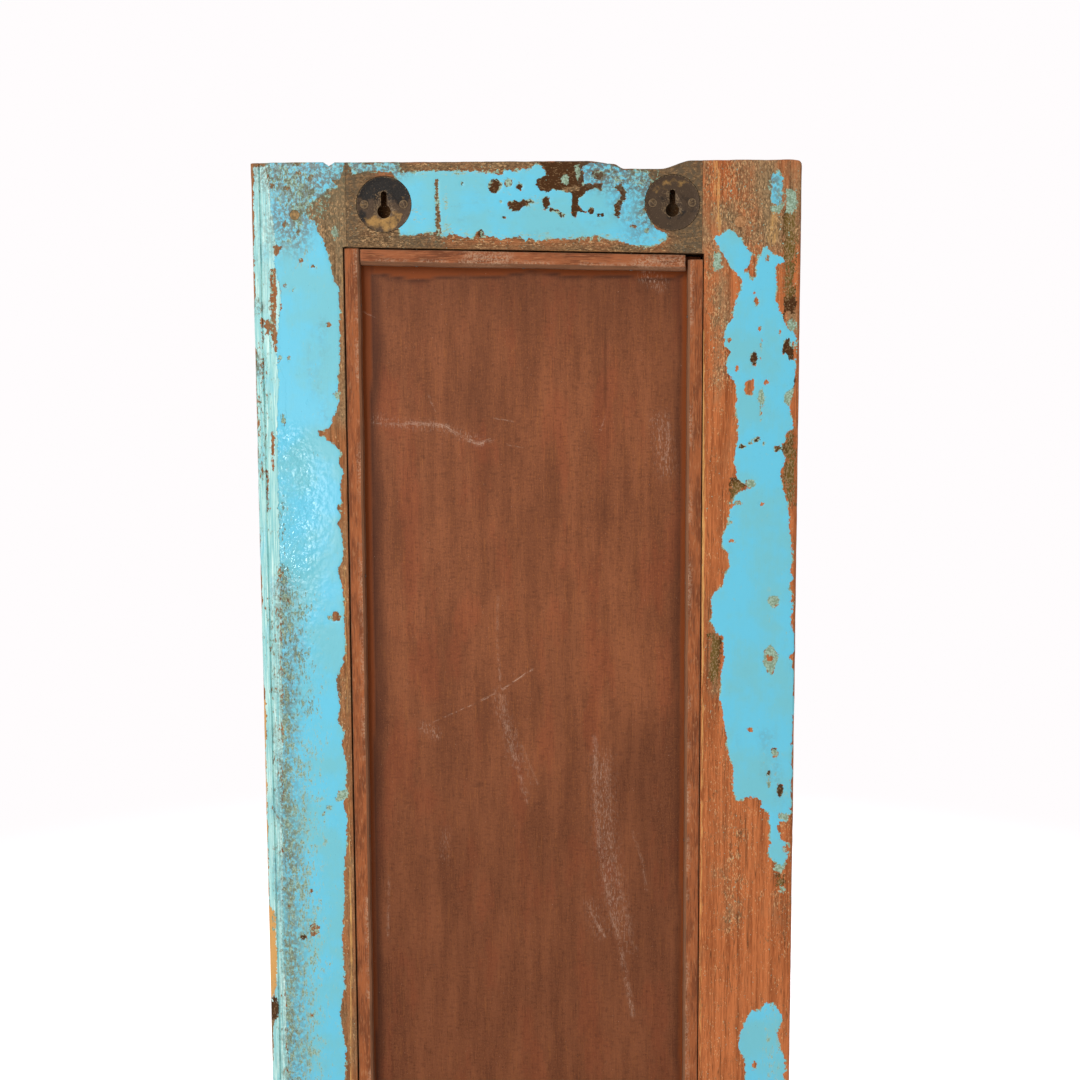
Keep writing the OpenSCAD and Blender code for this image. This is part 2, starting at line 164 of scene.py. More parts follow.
def linear(code: str) -> tuple[float, float, float, float]:
    """Turns an sRGB hex colour into linear red, green, blue and alpha, from 0 to 1."""
    parts = [int(code[i : i + 2], 16) / 255 for i in (1, 3, 5)]
    return (*(c / 12.92 if c <= 0.04045 else ((c + 0.055) / 1.055) ** 2.4 for c in parts), 1.0)


def rise(values: Array, low: float, high: float) -> Array:
    """Share from 0 at low to 1 at high that starts and ends gently."""
    share = np.clip((values - low) / (high - low), 0, 1)
    return share * share * (3 - 2 * share)


def rounding(distance: Array, radius: float | Array) -> Array:
    """How far a rounded arris lies below its face, at a distance from the arris."""
    share = np.clip(1 - distance / radius, 0, 1)
    return radius * (1 - np.sqrt(1 - share * share))


# The lattice of random values: how many there are, and the primes that pick one for a cell
LATTICE = 8192
PRIMES = (73856093, 19349663, 83492791)


def patchy(points: Array, size: float | Sequence[float], seed: int) -> Array:
    """Smooth random values on a lattice.

    Args:
        points: Places in millimetres, one row each.
        size: Size of the patches in millimetres, or three sizes along X, Y and Z.
        seed: Seed of the values.

    Returns:
        One value from 0 to 1 for each point.
    """
    table = np.random.default_rng(seed).random(LATTICE)
    cell = points / np.asarray(size, float)
    base = np.floor(cell).astype(np.int64)
    part = cell - base
    part = part * part * (3 - 2 * part)
    total = np.zeros(len(points))
    for corner in np.ndindex(2, 2, 2):
        step = np.array(corner)
        key = (base + step) * np.array(PRIMES)
        weight = np.where(step, part, 1 - part).prod(axis=1)
        total += table[(key[:, 0] ^ key[:, 1] ^ key[:, 2]) & (LATTICE - 1)] * weight
    return total


def rough(points: Array, size: float | Sequence[float], seed: int, layers: int = 4) -> Array:
    """Sums patchy values of ever finer size.

    Args:
        points: Places in millimetres, one row each.
        size: Size of the widest patches, as for patchy.
        seed: Seed of the values.
        layers: How many sizes there are, each half of the one before.

    Returns:
        One value from 0 to 1 for each point.
    """
    shares = 0.55 ** np.arange(layers)
    size = np.asarray(size, float)
    values = sum(s * patchy(points, size / 2**i, seed + i) for i, s in enumerate(shares))
    return values / shares.sum()


def off_line(u: Array, v: Array, line: Outline) -> tuple[Array, Array, Array]:
    """Where points lie beside a line.

    Args:
        u: The points' first coordinates.
        v: The points' second coordinates.
        line: Corners of the line.

    Returns:
        The distance to the nearest place on the line, the distance to the side of it, which has a sign, and
        how far along the line that place is.
    """
    nearest, signed, run = np.full(len(u), np.inf), np.zeros(len(u)), np.zeros(len(u))
    gone = 0.0
    for (u0, v0), (u1, v1) in zip(line, line[1:]):
        du, dv = u1 - u0, v1 - v0
        length = max(math.hypot(du, dv), 1e-9)
        t = np.clip(((u - u0) * du + (v - v0) * dv) / length**2, 0, 1)
        far = np.hypot(u - u0 - t * du, v - v0 - t * dv)
        closer = far < nearest
        signed = np.where(closer, ((u - u0) * dv - (v - v0) * du) / length, signed)
        run = np.where(closer, gone + t * length, run)
        nearest = np.minimum(nearest, far)
        gone += length
    return nearest, signed, run


def near_strokes(u: Array, v: Array, strokes: Sequence[Stroke]) -> Array:
    """Strength of the strongest of some soft strokes at each point.

    Args:
        u: The points' first coordinates.
        v: The points' second coordinates.
        strokes: The strokes.

    Returns:
        Values from 0 outside all of them to a stroke's strength on its line.
    """
    total = np.zeros(len(u))
    for stroke in strokes:
        near = 1 - off_line(u, v, stroke.line)[0] / stroke.reach
        total = np.maximum(total, stroke.strength * rise(near, 0, 1))
    return total


def inside_by(u: Array, v: Array, outline: Outline) -> Array:
    """How far each point lies inside a closed outline.

    Args:
        u: The points' first coordinates.
        v: The points' second coordinates.
        outline: Corners of the outline, in order.

    Returns:
        The distance to the outline, which is below zero outside it.
    """
    far = off_line(u, v, (*outline, outline[0]))[0]
    within = np.zeros(len(u), bool)
    for (u0, v0), (u1, v1) in zip(outline, (*outline[1:], outline[0])):
        if v0 != v1:
            within ^= ((v0 > v) != (v1 > v)) & (u < (u1 - u0) * (v - v0) / (v1 - v0) + u0)
    return np.where(within, far, -far)


def inside_oval(u: Array, v: Array, oval: Oval) -> Array:
    """Roughly how far each point lies inside an oval.

    Args:
        u: The points' first coordinates.
        v: The points' second coordinates.
        oval: The oval.

    Returns:
        The distance to its edge, which is below zero outside it.
    """
    wide, tall = (oval.right - oval.left) / 2, (oval.low - oval.top) / 2
    part = np.hypot((u - oval.left - wide) / wide, (v - oval.top - tall) / tall)
    return (1 - part) * np.minimum(wide, tall)


@dataclass(frozen=True)
class PhotoCamera:
    """Camera that sees the frame as the photograph does: its place, its turn in degrees and its lens."""

    place: Spot = (-25.92, 1216.37, -146.45)
    pitch: float = 6.155
    yaw: float = 0.729
    roll: float = -0.247
    lens: float = 50.0
    sensor: float = 36.0
    image_px: float = 1080.0

    def axes(self) -> Array:
        """Works out how the camera is turned.

        Returns:
            The directions of its right, up and forward, one row each.
        """
        p, y, r = (math.radians(a) for a in (self.pitch, self.yaw, self.roll))
        roll = np.array([[math.cos(r), math.sin(r), 0], [-math.sin(r), math.cos(r), 0], [0, 0, 1]])
        pitch = np.array([[1, 0, 0], [0, math.cos(p), math.sin(p)], [0, -math.sin(p), math.cos(p)]])
        yaw = np.array([[math.cos(y), 0, math.sin(y)], [0, 1, 0], [-math.sin(y), 0, math.cos(y)]])
        level = np.array([[-1, 0, 0], [0, 0, 1], [0, -1, 0]])
        return roll @ pitch @ yaw @ level

    def see(self, points: Array) -> tuple[Array, Array]:
        """Finds where the photograph shows points of the frame.

        Args:
            points: Places in millimetres.

        Returns:
            Their places in pixels, from the left and from the top.
        """
        right, up, ahead = ((points - np.array(self.place)) @ axis for axis in self.axes())
        focal = self.lens / self.sensor * self.image_px
        return self.image_px / 2 + focal * right / ahead, self.image_px / 2 - focal * up / ahead

    def set_up(self) -> None:
        """Adds the camera and makes it the scene's own."""
        data = bpy.data.cameras.new("photo_camera")
        data.lens, data.sensor_width = self.lens, self.sensor
        camera = bpy.data.objects.new("photo_camera", data)
        bpy.context.scene.collection.objects.link(camera)
        right, up, ahead = self.axes()
        turn = Matrix(np.column_stack((right, up, -ahead)).tolist()).to_4x4()
        camera.matrix_world = Matrix.Translation(Vector(self.place) * MM) @ turn
        bpy.context.scene.camera = camera


CAMERA = PhotoCamera()
# Photo pixels to a millimetre on the back of the frame
PX = 1.23


@dataclass(frozen=True)
class PaintMap:
    """Where each coat of a frame member shows, as outlines in photo pixels.

    The photograph ends at a height of 946 pixels, and what lies below is a guess in the same manner.
    """

    coats: dict[Coat, tuple[Outline, ...]] = field(default_factory=dict)
    chips: dict[Coat | None, tuple[Outline | Oval, ...]] = field(default_factory=dict)
    stains: dict[Stain, tuple[Stroke, ...]] = field(default_factory=dict)
    base: dict[Stain, float] = field(default_factory=dict)
    # Depth of a coat that isn't there, and by how much a chip's floor reaches past the chip, in photo pixels
    absent: float = -60.0
    overlap: float = 0.8 * PX

    def fields(self, points: Array) -> dict[str, Array]:
        """Works out each coat and stain at points on the back.

        Args:
            points: Places in millimetres.

        Returns:
            For each coat how far inside it a point lies, in millimetres, and for each stain its strength.
        """
        u, v = CAMERA.see(points)
        depth = {}
        for coat in Coat:
            depths = [inside_by(u, v, outline) for outline in self.coats.get(coat, ())]
            depth[coat] = np.max(depths, axis=0) if depths else np.full(len(u), self.absent)
        for under in (Coat.PRIMER, Coat.UNDERCOAT, None):
            for chip in self.chips.get(under, ()):
                hole = inside_oval(u, v, chip) if isinstance(chip, Oval) else inside_by(u, v, chip)
                for coat in Coat if under is None else (Coat.OLD, Coat.TOP):
                    depth[coat] = np.minimum(depth[coat], -hole)
                if under is not None:
                    depth[under] = np.maximum(depth[under], hole + self.overlap)
        found = {coat.value: values / PX for coat, values in depth.items()}
        for stain in Stain:
            marks = near_strokes(u, v, self.stains.get(stain, ()))
            found[stain.value] = np.clip(self.base.get(stain, 0.0) + marks, 0, 1)
        return found


MEETING_TOP_COAT = (
    (268, 160), (345, 160), (340, 179), (331, 180), (337, 187), (326, 189), (324, 194), (316, 199),
    (307, 204), (305, 211), (308, 219), (315, 221), (318, 234), (323, 239), (327, 254), (330, 263),
    (334, 282), (339, 288), (339.5, 337), (340, 363), (337, 380), (338.6, 391), (333, 394), (339.5, 400),
    (336, 410), (332, 422), (328, 429), (319, 431), (319, 436), (325, 438), (336, 446), (340.5, 453),
    (338.6, 461), (343, 471), (340, 489), (342, 501), (337, 506), (341, 515), (337.6, 523), (342, 535),
    (343, 556), (337.6, 572), (342.4, 584), (344, 617), (344.8, 646), (344, 662), (338.6, 673), (336.7, 684),
    (338.6, 694), (340, 706), (337.6, 719), (344, 733), (341.4, 745), (346, 759), (346, 783), (343.8, 801),
    (346.7, 820), (346, 849), (343.8, 874), (344.8, 901), (343, 920), (342.4, 946), (345, 985), (340, 1012),
    (346, 1050), (344, 1096), (338, 1120), (346, 1150), (329, 1184), (331, 1215), (318, 1260), (284, 1260),
    (290, 1100), (284, 946), (283, 800), (283, 700), (281, 600), (278, 480), (277, 430), (279, 380),
    (276.8, 366), (276.8, 337), (278.8, 326), (278.8, 316), (281.3, 308), (281, 292), (279.8, 286),
    (274, 262), (276, 245), (270, 200),
)
MEETING_OLD_COAT = (
    (230, 166), (273, 166), (274, 205), (277, 245), (275, 262), (281, 292), (280, 326), (279, 366),
    (286, 380), (286, 423), (283, 480), (288, 560), (292, 700), (293, 860), (290, 946), (296, 1100),
    (290, 1260), (256, 1260), (262, 1080), (273, 990), (267, 946), (240, 900),
)
MEETING_BARE_STRIPE = (
    (270.2, 268), (275.6, 268), (276.6, 290), (276, 322), (277, 340), (275.6, 352), (273.4, 346), (271, 332),
    (270.2, 300),
)
MEETING_HOOK_CHIP = ((273, 246), (283, 246.5), (280, 251), (277, 256), (274.5, 254), (273.5, 250))
MEETING_LOW_CHIP = ((310, 925), (314, 923), (320, 927), (318, 934), (311, 936.5), (309, 930))
MEETING_MID_CHIP = (
    (335.6, 610.5), (341.4, 616), (341, 620), (333, 621), (327, 619), (326.8, 615.5), (331, 617.5),
    (333.4, 612.5),
)
MEETING_RAW_EDGE = (
    (262, 700), (266, 700), (267.4, 830), (269.6, 905), (276, 916), (277, 985), (266, 1010), (255, 1010),
)
MEETING_DARK_RIM = (
    (244, 150), (346, 150), (346, 160.6), (300, 161), (256, 161.6), (253.6, 168), (253.8, 230), (254.4, 300),
    (244, 300),
)
MEETING_GROOVE_HIGH = ((262, 318), (263.2, 318), (263.6, 385), (262.6, 385))
MEETING_GROOVE_LOW = ((266.6, 470), (268, 470), (268.6, 512), (267.2, 512))
MEETING_STREAK = ((271.4, 430), (274.2, 430), (274.4, 472), (272.4, 472))
MEETING_GREEN_STRIP = ((339, 791), (346, 789), (346.5, 797), (340, 802), (335, 801))

MEETING_PAINT = PaintMap(
    coats={
        Coat.TOP: (MEETING_TOP_COAT,),
        Coat.OLD: (MEETING_OLD_COAT,),
        Coat.PRIMER: (((255, 300), (262, 296), (262, 309), (256, 312)),),
    },
    chips={
        None: (
            MEETING_BARE_STRIPE, MEETING_HOOK_CHIP, MEETING_LOW_CHIP, MEETING_MID_CHIP, MEETING_RAW_EDGE,
            MEETING_GROOVE_HIGH, MEETING_GROOVE_LOW, MEETING_STREAK, MEETING_DARK_RIM,
            Oval(326.2, 322, 331, 327.2), Oval(309, 888, 313, 893), Oval(293, 286.5, 295, 291.5),
            Oval(284, 283, 286.6, 288), Oval(311, 265, 313.6, 268), Oval(261, 318.5, 263.5, 326),
            Oval(266, 319, 271, 334), Oval(299, 258, 303, 263), Oval(296, 230, 300, 236),
            Oval(283, 222, 287, 228), Oval(309, 174, 313, 180), Oval(276, 196, 279, 200),
            Oval(247, 157, 255, 165), Oval(284, 186, 290, 190), Oval(295, 171, 301, 176),
            Oval(270, 180, 273, 188),
        ),
        Coat.UNDERCOAT: (
            MEETING_GREEN_STRIP, Oval(278.5, 355, 282, 361), Oval(287.5, 356, 290, 361),
            Oval(281, 414, 286, 424), Oval(333, 228, 337, 236), Oval(335, 392, 339, 400),
            Oval(327, 804, 332, 811), Oval(322, 812, 325, 816),
        ),
        Coat.PRIMER: (Oval(300, 934, 306, 940), Oval(271, 996, 279, 1020)),
    },
    stains={
        Stain.SPECKLE: (
            Stroke(
                ((282, 570), (285, 640), (285, 720), (287, 800), (291, 880), (291, 960), (293, 1240)), 15,
                0.92,
            ),
            Stroke(((288, 600), (296, 700), (299, 800), (303, 880), (304, 945), (304, 1090)), 46, 0.7),
            Stroke(((262, 480), (268, 600)), 12, 0.34), Stroke(((282, 500), (284, 560)), 13, 0.5),
            Stroke(((282, 178), (305, 190), (298, 214)), 44, 0.85), Stroke(((287, 232), (303, 258)), 26, 0.5),
            Stroke(((272, 240), (270, 420)), 9, 0.38), Stroke(((256, 300), (262, 312)), 14, 0.5),
            Stroke(((258, 350), (262, 480)), 14, 0.66), Stroke(((268, 600), (275, 700), (276, 930)), 9, 0.5),
            Stroke(((262, 180), (264, 300)), 10, 0.3), Stroke(((322, 370), (326, 420)), 22, 0.16),
        ),
        Stain.GRIME: (
            Stroke(((276, 168), (338, 172), (300, 205), (290, 225)), 52, 1.0),
            Stroke(((330, 190), (340, 250)), 26, 0.6), Stroke(((255, 305), (262, 306)), 12, 0.7),
            Stroke(((256, 355), (259, 372)), 9, 0.8), Stroke(((260, 170), (263, 300)), 16, 0.35),
            Stroke(((286, 590), (288, 760), (292, 946), (296, 1240)), 30, 0.6),
            Stroke(((318, 330), (323, 425)), 24, 0.28),
        ),
        Stain.TAN: (
            Stroke(((318, 200), (345, 215), (342, 262)), 60, 0.95),
            Stroke(((343, 290), (344, 420)), 14, 0.35), Stroke(((270, 930), (272, 1240)), 16, 0.8),
        ),
        # Raw ochre wood near the outer strip, and painted highlights along the inner arris
        Stain.OCHRE: (
            Stroke(((265, 700), (268, 905)), 2.4, 0.7), Stroke(((271, 912), (272, 990)), 13, 1.0),
            Stroke(((344.5, 520), (346.5, 660), (349, 760), (351, 946), (351, 1150)), 2.2, 0.5),
            Stroke(((341.5, 262), (343.5, 430)), 2.2, 0.4),
        ),
        Stain.DABS: (
            Stroke(((284, 452), (294, 500), (290, 560)), 46, 1.0), Stroke(((322, 470), (322, 540)), 26, 0.3),
            Stroke(((310, 580), (300, 700)), 40, 0.3),
        ),
        Stain.OLIVE: (Stroke(((337, 380), (342, 400)), 14, 0.8), Stroke(((342, 690), (343, 705)), 12, 0.7)),
        Stain.FLECK: (Stroke(((318, 210), (345, 225)), 40, 0.7), Stroke(((342, 550), (345, 946)), 10, 0.5)),
    },
    base={Stain.TAN: 0.35, Stain.SPECKLE: 0.06},
)

RAIL_BROWN_EDGE = (
    (546, 171), (545, 176), (537, 178.7), (536, 185), (541, 191), (548.5, 192.6), (552, 189.7), (566, 192),
    (572, 193.5), (572, 202), (571, 208), (572, 216), (575, 217), (577, 213), (586, 212), (580, 208),
    (578, 203.6), (579, 198), (584, 197), (585, 191), (596, 189), (601, 192), (603.5, 191), (602, 183.5),
    (593, 184.4), (584, 183.5), (583, 173), (581, 169),
)
RAIL_TOP_COAT = (
    (390, 171.5), (395, 170.6), (401, 173), (409, 172), (414, 175), (417, 171.5), (434, 171), (479, 171.5),
    (486, 173), (499, 175), (503, 175), (504, 171.5), (510, 169.6), (515, 173), (522, 169), (531, 169),
    (535, 165), (541, 166), *RAIL_BROWN_EDGE, (589, 163), (606, 163), (622, 170), (648, 172), (650, 185),
    (646, 198), (645, 205), (642, 211), (648, 215), (651, 224), (657, 229), (667, 234), (665, 239),
    (660.5, 243), (652, 245), (642, 245.7), (629, 244), (619, 241), (606, 238.5), (599, 235), (580, 236.6),
    (571, 240), (562, 238.5), (547, 238.5), (541, 241), (536, 240), (529, 237.6), (525.5, 242), (521, 236.6),
    (512, 236.6), (502.5, 239.5), (492, 236.6), (482, 234), (478, 229.4), (473, 237.6), (462, 237.6),
    (450, 233), (447, 236), (441, 235.6), (435, 232), (426, 232), (416, 235), (402, 235), (398, 228),
    (404, 216), (407, 200), (403, 186), (396, 177),
)
RAIL_DIRTY_COAT = ((347, 160), (397, 161), (398, 170), (385, 172), (370, 170), (352, 174))
RAIL_BROWN_CHIP = ((541, 163), (590, 161), *RAIL_BROWN_EDGE[::-1])
RAIL_HOOK_CHIP = (
    (613, 186), (622, 185), (627, 191), (625, 200), (621, 207), (619, 218), (614, 215), (614, 206),
    (618, 199), (622, 196), (619, 190), (614, 189),
)
RAIL_LONG_CHIP = (
    (508.5, 202), (513, 200.5), (519, 201.5), (523, 199.5), (533, 198.5), (534, 203), (530, 204.5),
    (531, 207), (522, 206.5), (519, 211.5), (512, 211), (508.5, 207),
)
RAIL_TAN_SPOT = ((562, 188), (569, 187), (577, 185.5), (581, 188), (578, 191), (570, 191.5), (563, 190.5))
RAIL_SLANT_CHIP = (
    (549, 208), (556, 209), (562, 213), (566, 213.5), (566, 216), (561, 217.5), (557, 213.5), (550, 211.5),
)
RAIL_GROOVE = ((434.8, 179), (438, 179), (442.4, 251), (436, 251))

RAIL_PAINT = PaintMap(
    coats={
        Coat.TOP: (RAIL_TOP_COAT, RAIL_DIRTY_COAT),
        Coat.UNDERCOAT: (
            ((560, 177), (564, 175.5), (568, 177), (567, 183), (562, 184)),
            ((575, 166), (580, 165), (579, 180), (577, 182)),
            ((486, 181), (490, 184), (489, 187), (485.5, 184)),
        ),
    },
    chips={
        Coat.PRIMER: (
            RAIL_BROWN_CHIP, RAIL_HOOK_CHIP, RAIL_LONG_CHIP, RAIL_SLANT_CHIP, Oval(488, 179, 502, 193),
            Oval(516.5, 182.5, 523, 190), Oval(498.8, 200, 502.4, 203.6), Oval(542.4, 196, 549.6, 209),
            Oval(588, 207, 594, 214), Oval(596.5, 213, 600, 217), Oval(601, 213, 604, 217),
            Oval(501.5, 216, 505, 219), Oval(591, 171, 606, 179), Oval(460, 181, 463.5, 185.5),
            Oval(545, 176, 552, 182), Oval(478, 229, 483, 236),
        ),
        None: (RAIL_GROOVE, RAIL_TAN_SPOT, Oval(630, 225, 637, 228)),
        Coat.UNDERCOAT: (Oval(505, 178.6, 512, 187), Oval(644, 228, 649, 233)),
    },
    stains={
        Stain.SPECKLE: (
            Stroke(((446, 187), (446, 200), (446.5, 230)), 5, 0.75),
            Stroke(((600, 172), (650, 178)), 22, 0.8), Stroke(((412, 210), (425, 228)), 20, 0.4),
            Stroke(((350, 166), (395, 166)), 14, 0.75), Stroke(((625, 200), (645, 222)), 22, 0.4),
            Stroke(((410, 231), (475, 234), (660, 240)), 9, 0.55),
            Stroke(((400, 173), (470, 173), (530, 170)), 6, 0.6), Stroke(((500, 180), (545, 200)), 20, 0.3),
        ),
        Stain.GRIME: (
            Stroke(((345, 165), (397, 166)), 20, 0.9), Stroke(((600, 170), (655, 180), (648, 215)), 34, 0.85),
            Stroke(((620, 205), (640, 230)), 22, 0.5), Stroke(((350, 178), (350, 235)), 20, 0.9),
            Stroke(((400, 240), (440, 241)), 12, 0.7), Stroke(((688, 165), (698, 200), (690, 240)), 36, 1.0),
        ),
        Stain.TAN: (
            Stroke(((345, 175), (350, 240), (400, 243)), 46, 1.0),
            # The second stroke, along the lower edge, is worn tan wood and partly paints its lit arris as a
            # highlight
            Stroke(((655, 160), (700, 190), (690, 245)), 44, 1.0), Stroke(((400, 245), (700, 252)), 10, 0.45),
            Stroke(((562, 188), (580, 189)), 9, 0.9), Stroke(((437, 182), (438, 249)), 6, 0.9),
            Stroke(((400, 166), (540, 164)), 12, 0.6),
        ),
        Stain.OLIVE: (Stroke(((690, 165), (700, 200)), 14, 0.5), Stroke(((350, 168), (342, 200)), 14, 0.5)),
        Stain.FLECK: (
            Stroke(((350, 215), (352, 240), (400, 244)), 34, 0.8), Stroke(((660, 170), (700, 240)), 34, 0.25),
            Stroke(((400, 240), (680, 248)), 12, 0.7), Stroke(((400, 166), (535, 166)), 9, 0.9),
        ),
        # Painted highlights along the lit lower arris
        Stain.OCHRE: (
            Stroke(((400, 248.5), (470, 249)), 2.4, 0.3), Stroke(((520, 250), (690, 251)), 2.4, 0.3),
        ),
    },
    base={Stain.TAN: 0.25, Stain.GRIME: 0.12},
)

HANGING_TOP_COAT = (
    (714, 237), (722.5, 234), (728, 229.5), (735, 233), (741, 239), (746.5, 248), (752, 254), (750, 261),
    (748, 269), (749, 278), (752, 281), (757, 276), (757, 267), (759, 258), (762, 251), (767, 245),
    (770, 251), (774, 255), (781, 256), (785, 261), (782, 264), (778, 263), (775, 271), (777, 282),
    (775, 297), (777, 304), (781, 312), (784, 321), (789, 330), (796, 334), (796, 368), (794, 388),
    (787, 391), (784, 394), (784, 402.5), (791, 408), (790, 415), (794, 423), (793, 429), (785, 434),
    (785, 441), (781, 446), (782, 452), (786, 458), (780, 474), (782, 485), (786, 499), (789, 512),
    (789, 526), (791, 540), (793, 552), (791.5, 569), (793, 578), (787, 589), (792.5, 595), (793, 608),
    (791, 622), (794, 635), (795, 651), (791, 655), (792.5, 668), (795, 680), (795, 709), (793, 719),
    (791.5, 761), (793, 773), (791, 786), (791.5, 799), (790, 814), (787, 820), (780, 821), (777, 827),
    (781, 840), (787, 842), (789, 852), (787, 860), (783, 866), (778, 864), (770.5, 858), (768.6, 852.5),
    (769, 845), (771, 841.6), (771, 829), (769.5, 819), (769, 812), (759, 806), (762, 801), (756, 797),
    (746, 797.6), (744, 799.5), (737, 799.5), (733.6, 791), (733, 767), (729, 755), (727, 736), (722.6, 716),
    (723, 708), (720, 699), (722, 687), (721, 674), (724.5, 658), (723.6, 652), (723.6, 636), (716, 633),
    (711, 622), (712, 614), (711, 600), (714, 592), (722, 588), (724.5, 575), (731, 568), (727, 551),
    (722, 544), (723, 537), (726.5, 526), (733.6, 523), (729, 519), (730, 510), (733.6, 505), (733, 501),
    (736, 494), (745.6, 488), (747, 485), (737, 478), (734, 463), (735, 453), (738, 440), (738, 419),
    (735, 405), (737, 400), (737, 386), (733, 380), (727, 372), (727, 359), (731, 352), (724.5, 345),
    (724.5, 334), (727, 326), (733, 318), (736, 301), (739, 294), (742, 289), (742, 280), (737, 274),
    (731, 266), (725, 257), (720, 249), (715, 239.5),
)
HANGING_TOP_SPOT = ((771, 176), (778, 172), (783, 178), (782, 200), (778, 206), (772, 202), (772, 190))
HANGING_LOW_COAT = (
    (752, 1010), (760, 1012), (766, 1002), (773, 1004), (783, 1016), (777, 1034), (780, 1050), (786, 1061),
    (784, 1080), (776, 1096), (783, 1118), (783, 1140), (788, 1168), (780, 1184), (788, 1200), (786, 1260),
    (728, 1260), (722, 1238), (729, 1224), (725, 1210), (733, 1196), (732, 1170), (724, 1156), (727, 1130),
    (736, 1120), (735, 1100), (746, 1090), (745, 1060), (738, 1048), (741, 1030),
)
HANGING_OLIVE_NOTCH = ((731, 478), (737, 478), (747, 485), (745, 489), (737, 494), (733, 502), (730, 496))
HANGING_OLIVE_STRIP = (
    (787, 430), (795, 428), (795.5, 505), (789, 506), (784, 490), (781, 474), (786, 458), (777, 450),
    (776, 446), (784, 443), (786, 436),
)
HANGING_DARK_STREAK = ((783, 208), (797, 212), (796, 268), (792, 286), (785, 296), (784, 262), (782, 232))
HANGING_DIAMOND = ((770, 643), (779, 657), (771, 677), (763, 664), (764, 652))
HANGING_ORANGE_BITE = (
    (737, 800), (745, 798), (757, 797), (762, 802), (760, 808), (769, 812), (769, 820), (763, 817),
    (752, 812), (742, 808),
)
HANGING_BROWN_CHIP = (
    (784, 340), (789, 338), (792, 346), (794, 360), (789, 360), (786, 353), (782.6, 354), (782.6, 346),
)
HANGING_SQUARE_CHIP = ((745, 382), (754, 379), (754.7, 388), (752, 396), (746, 394.5), (744.6, 390))

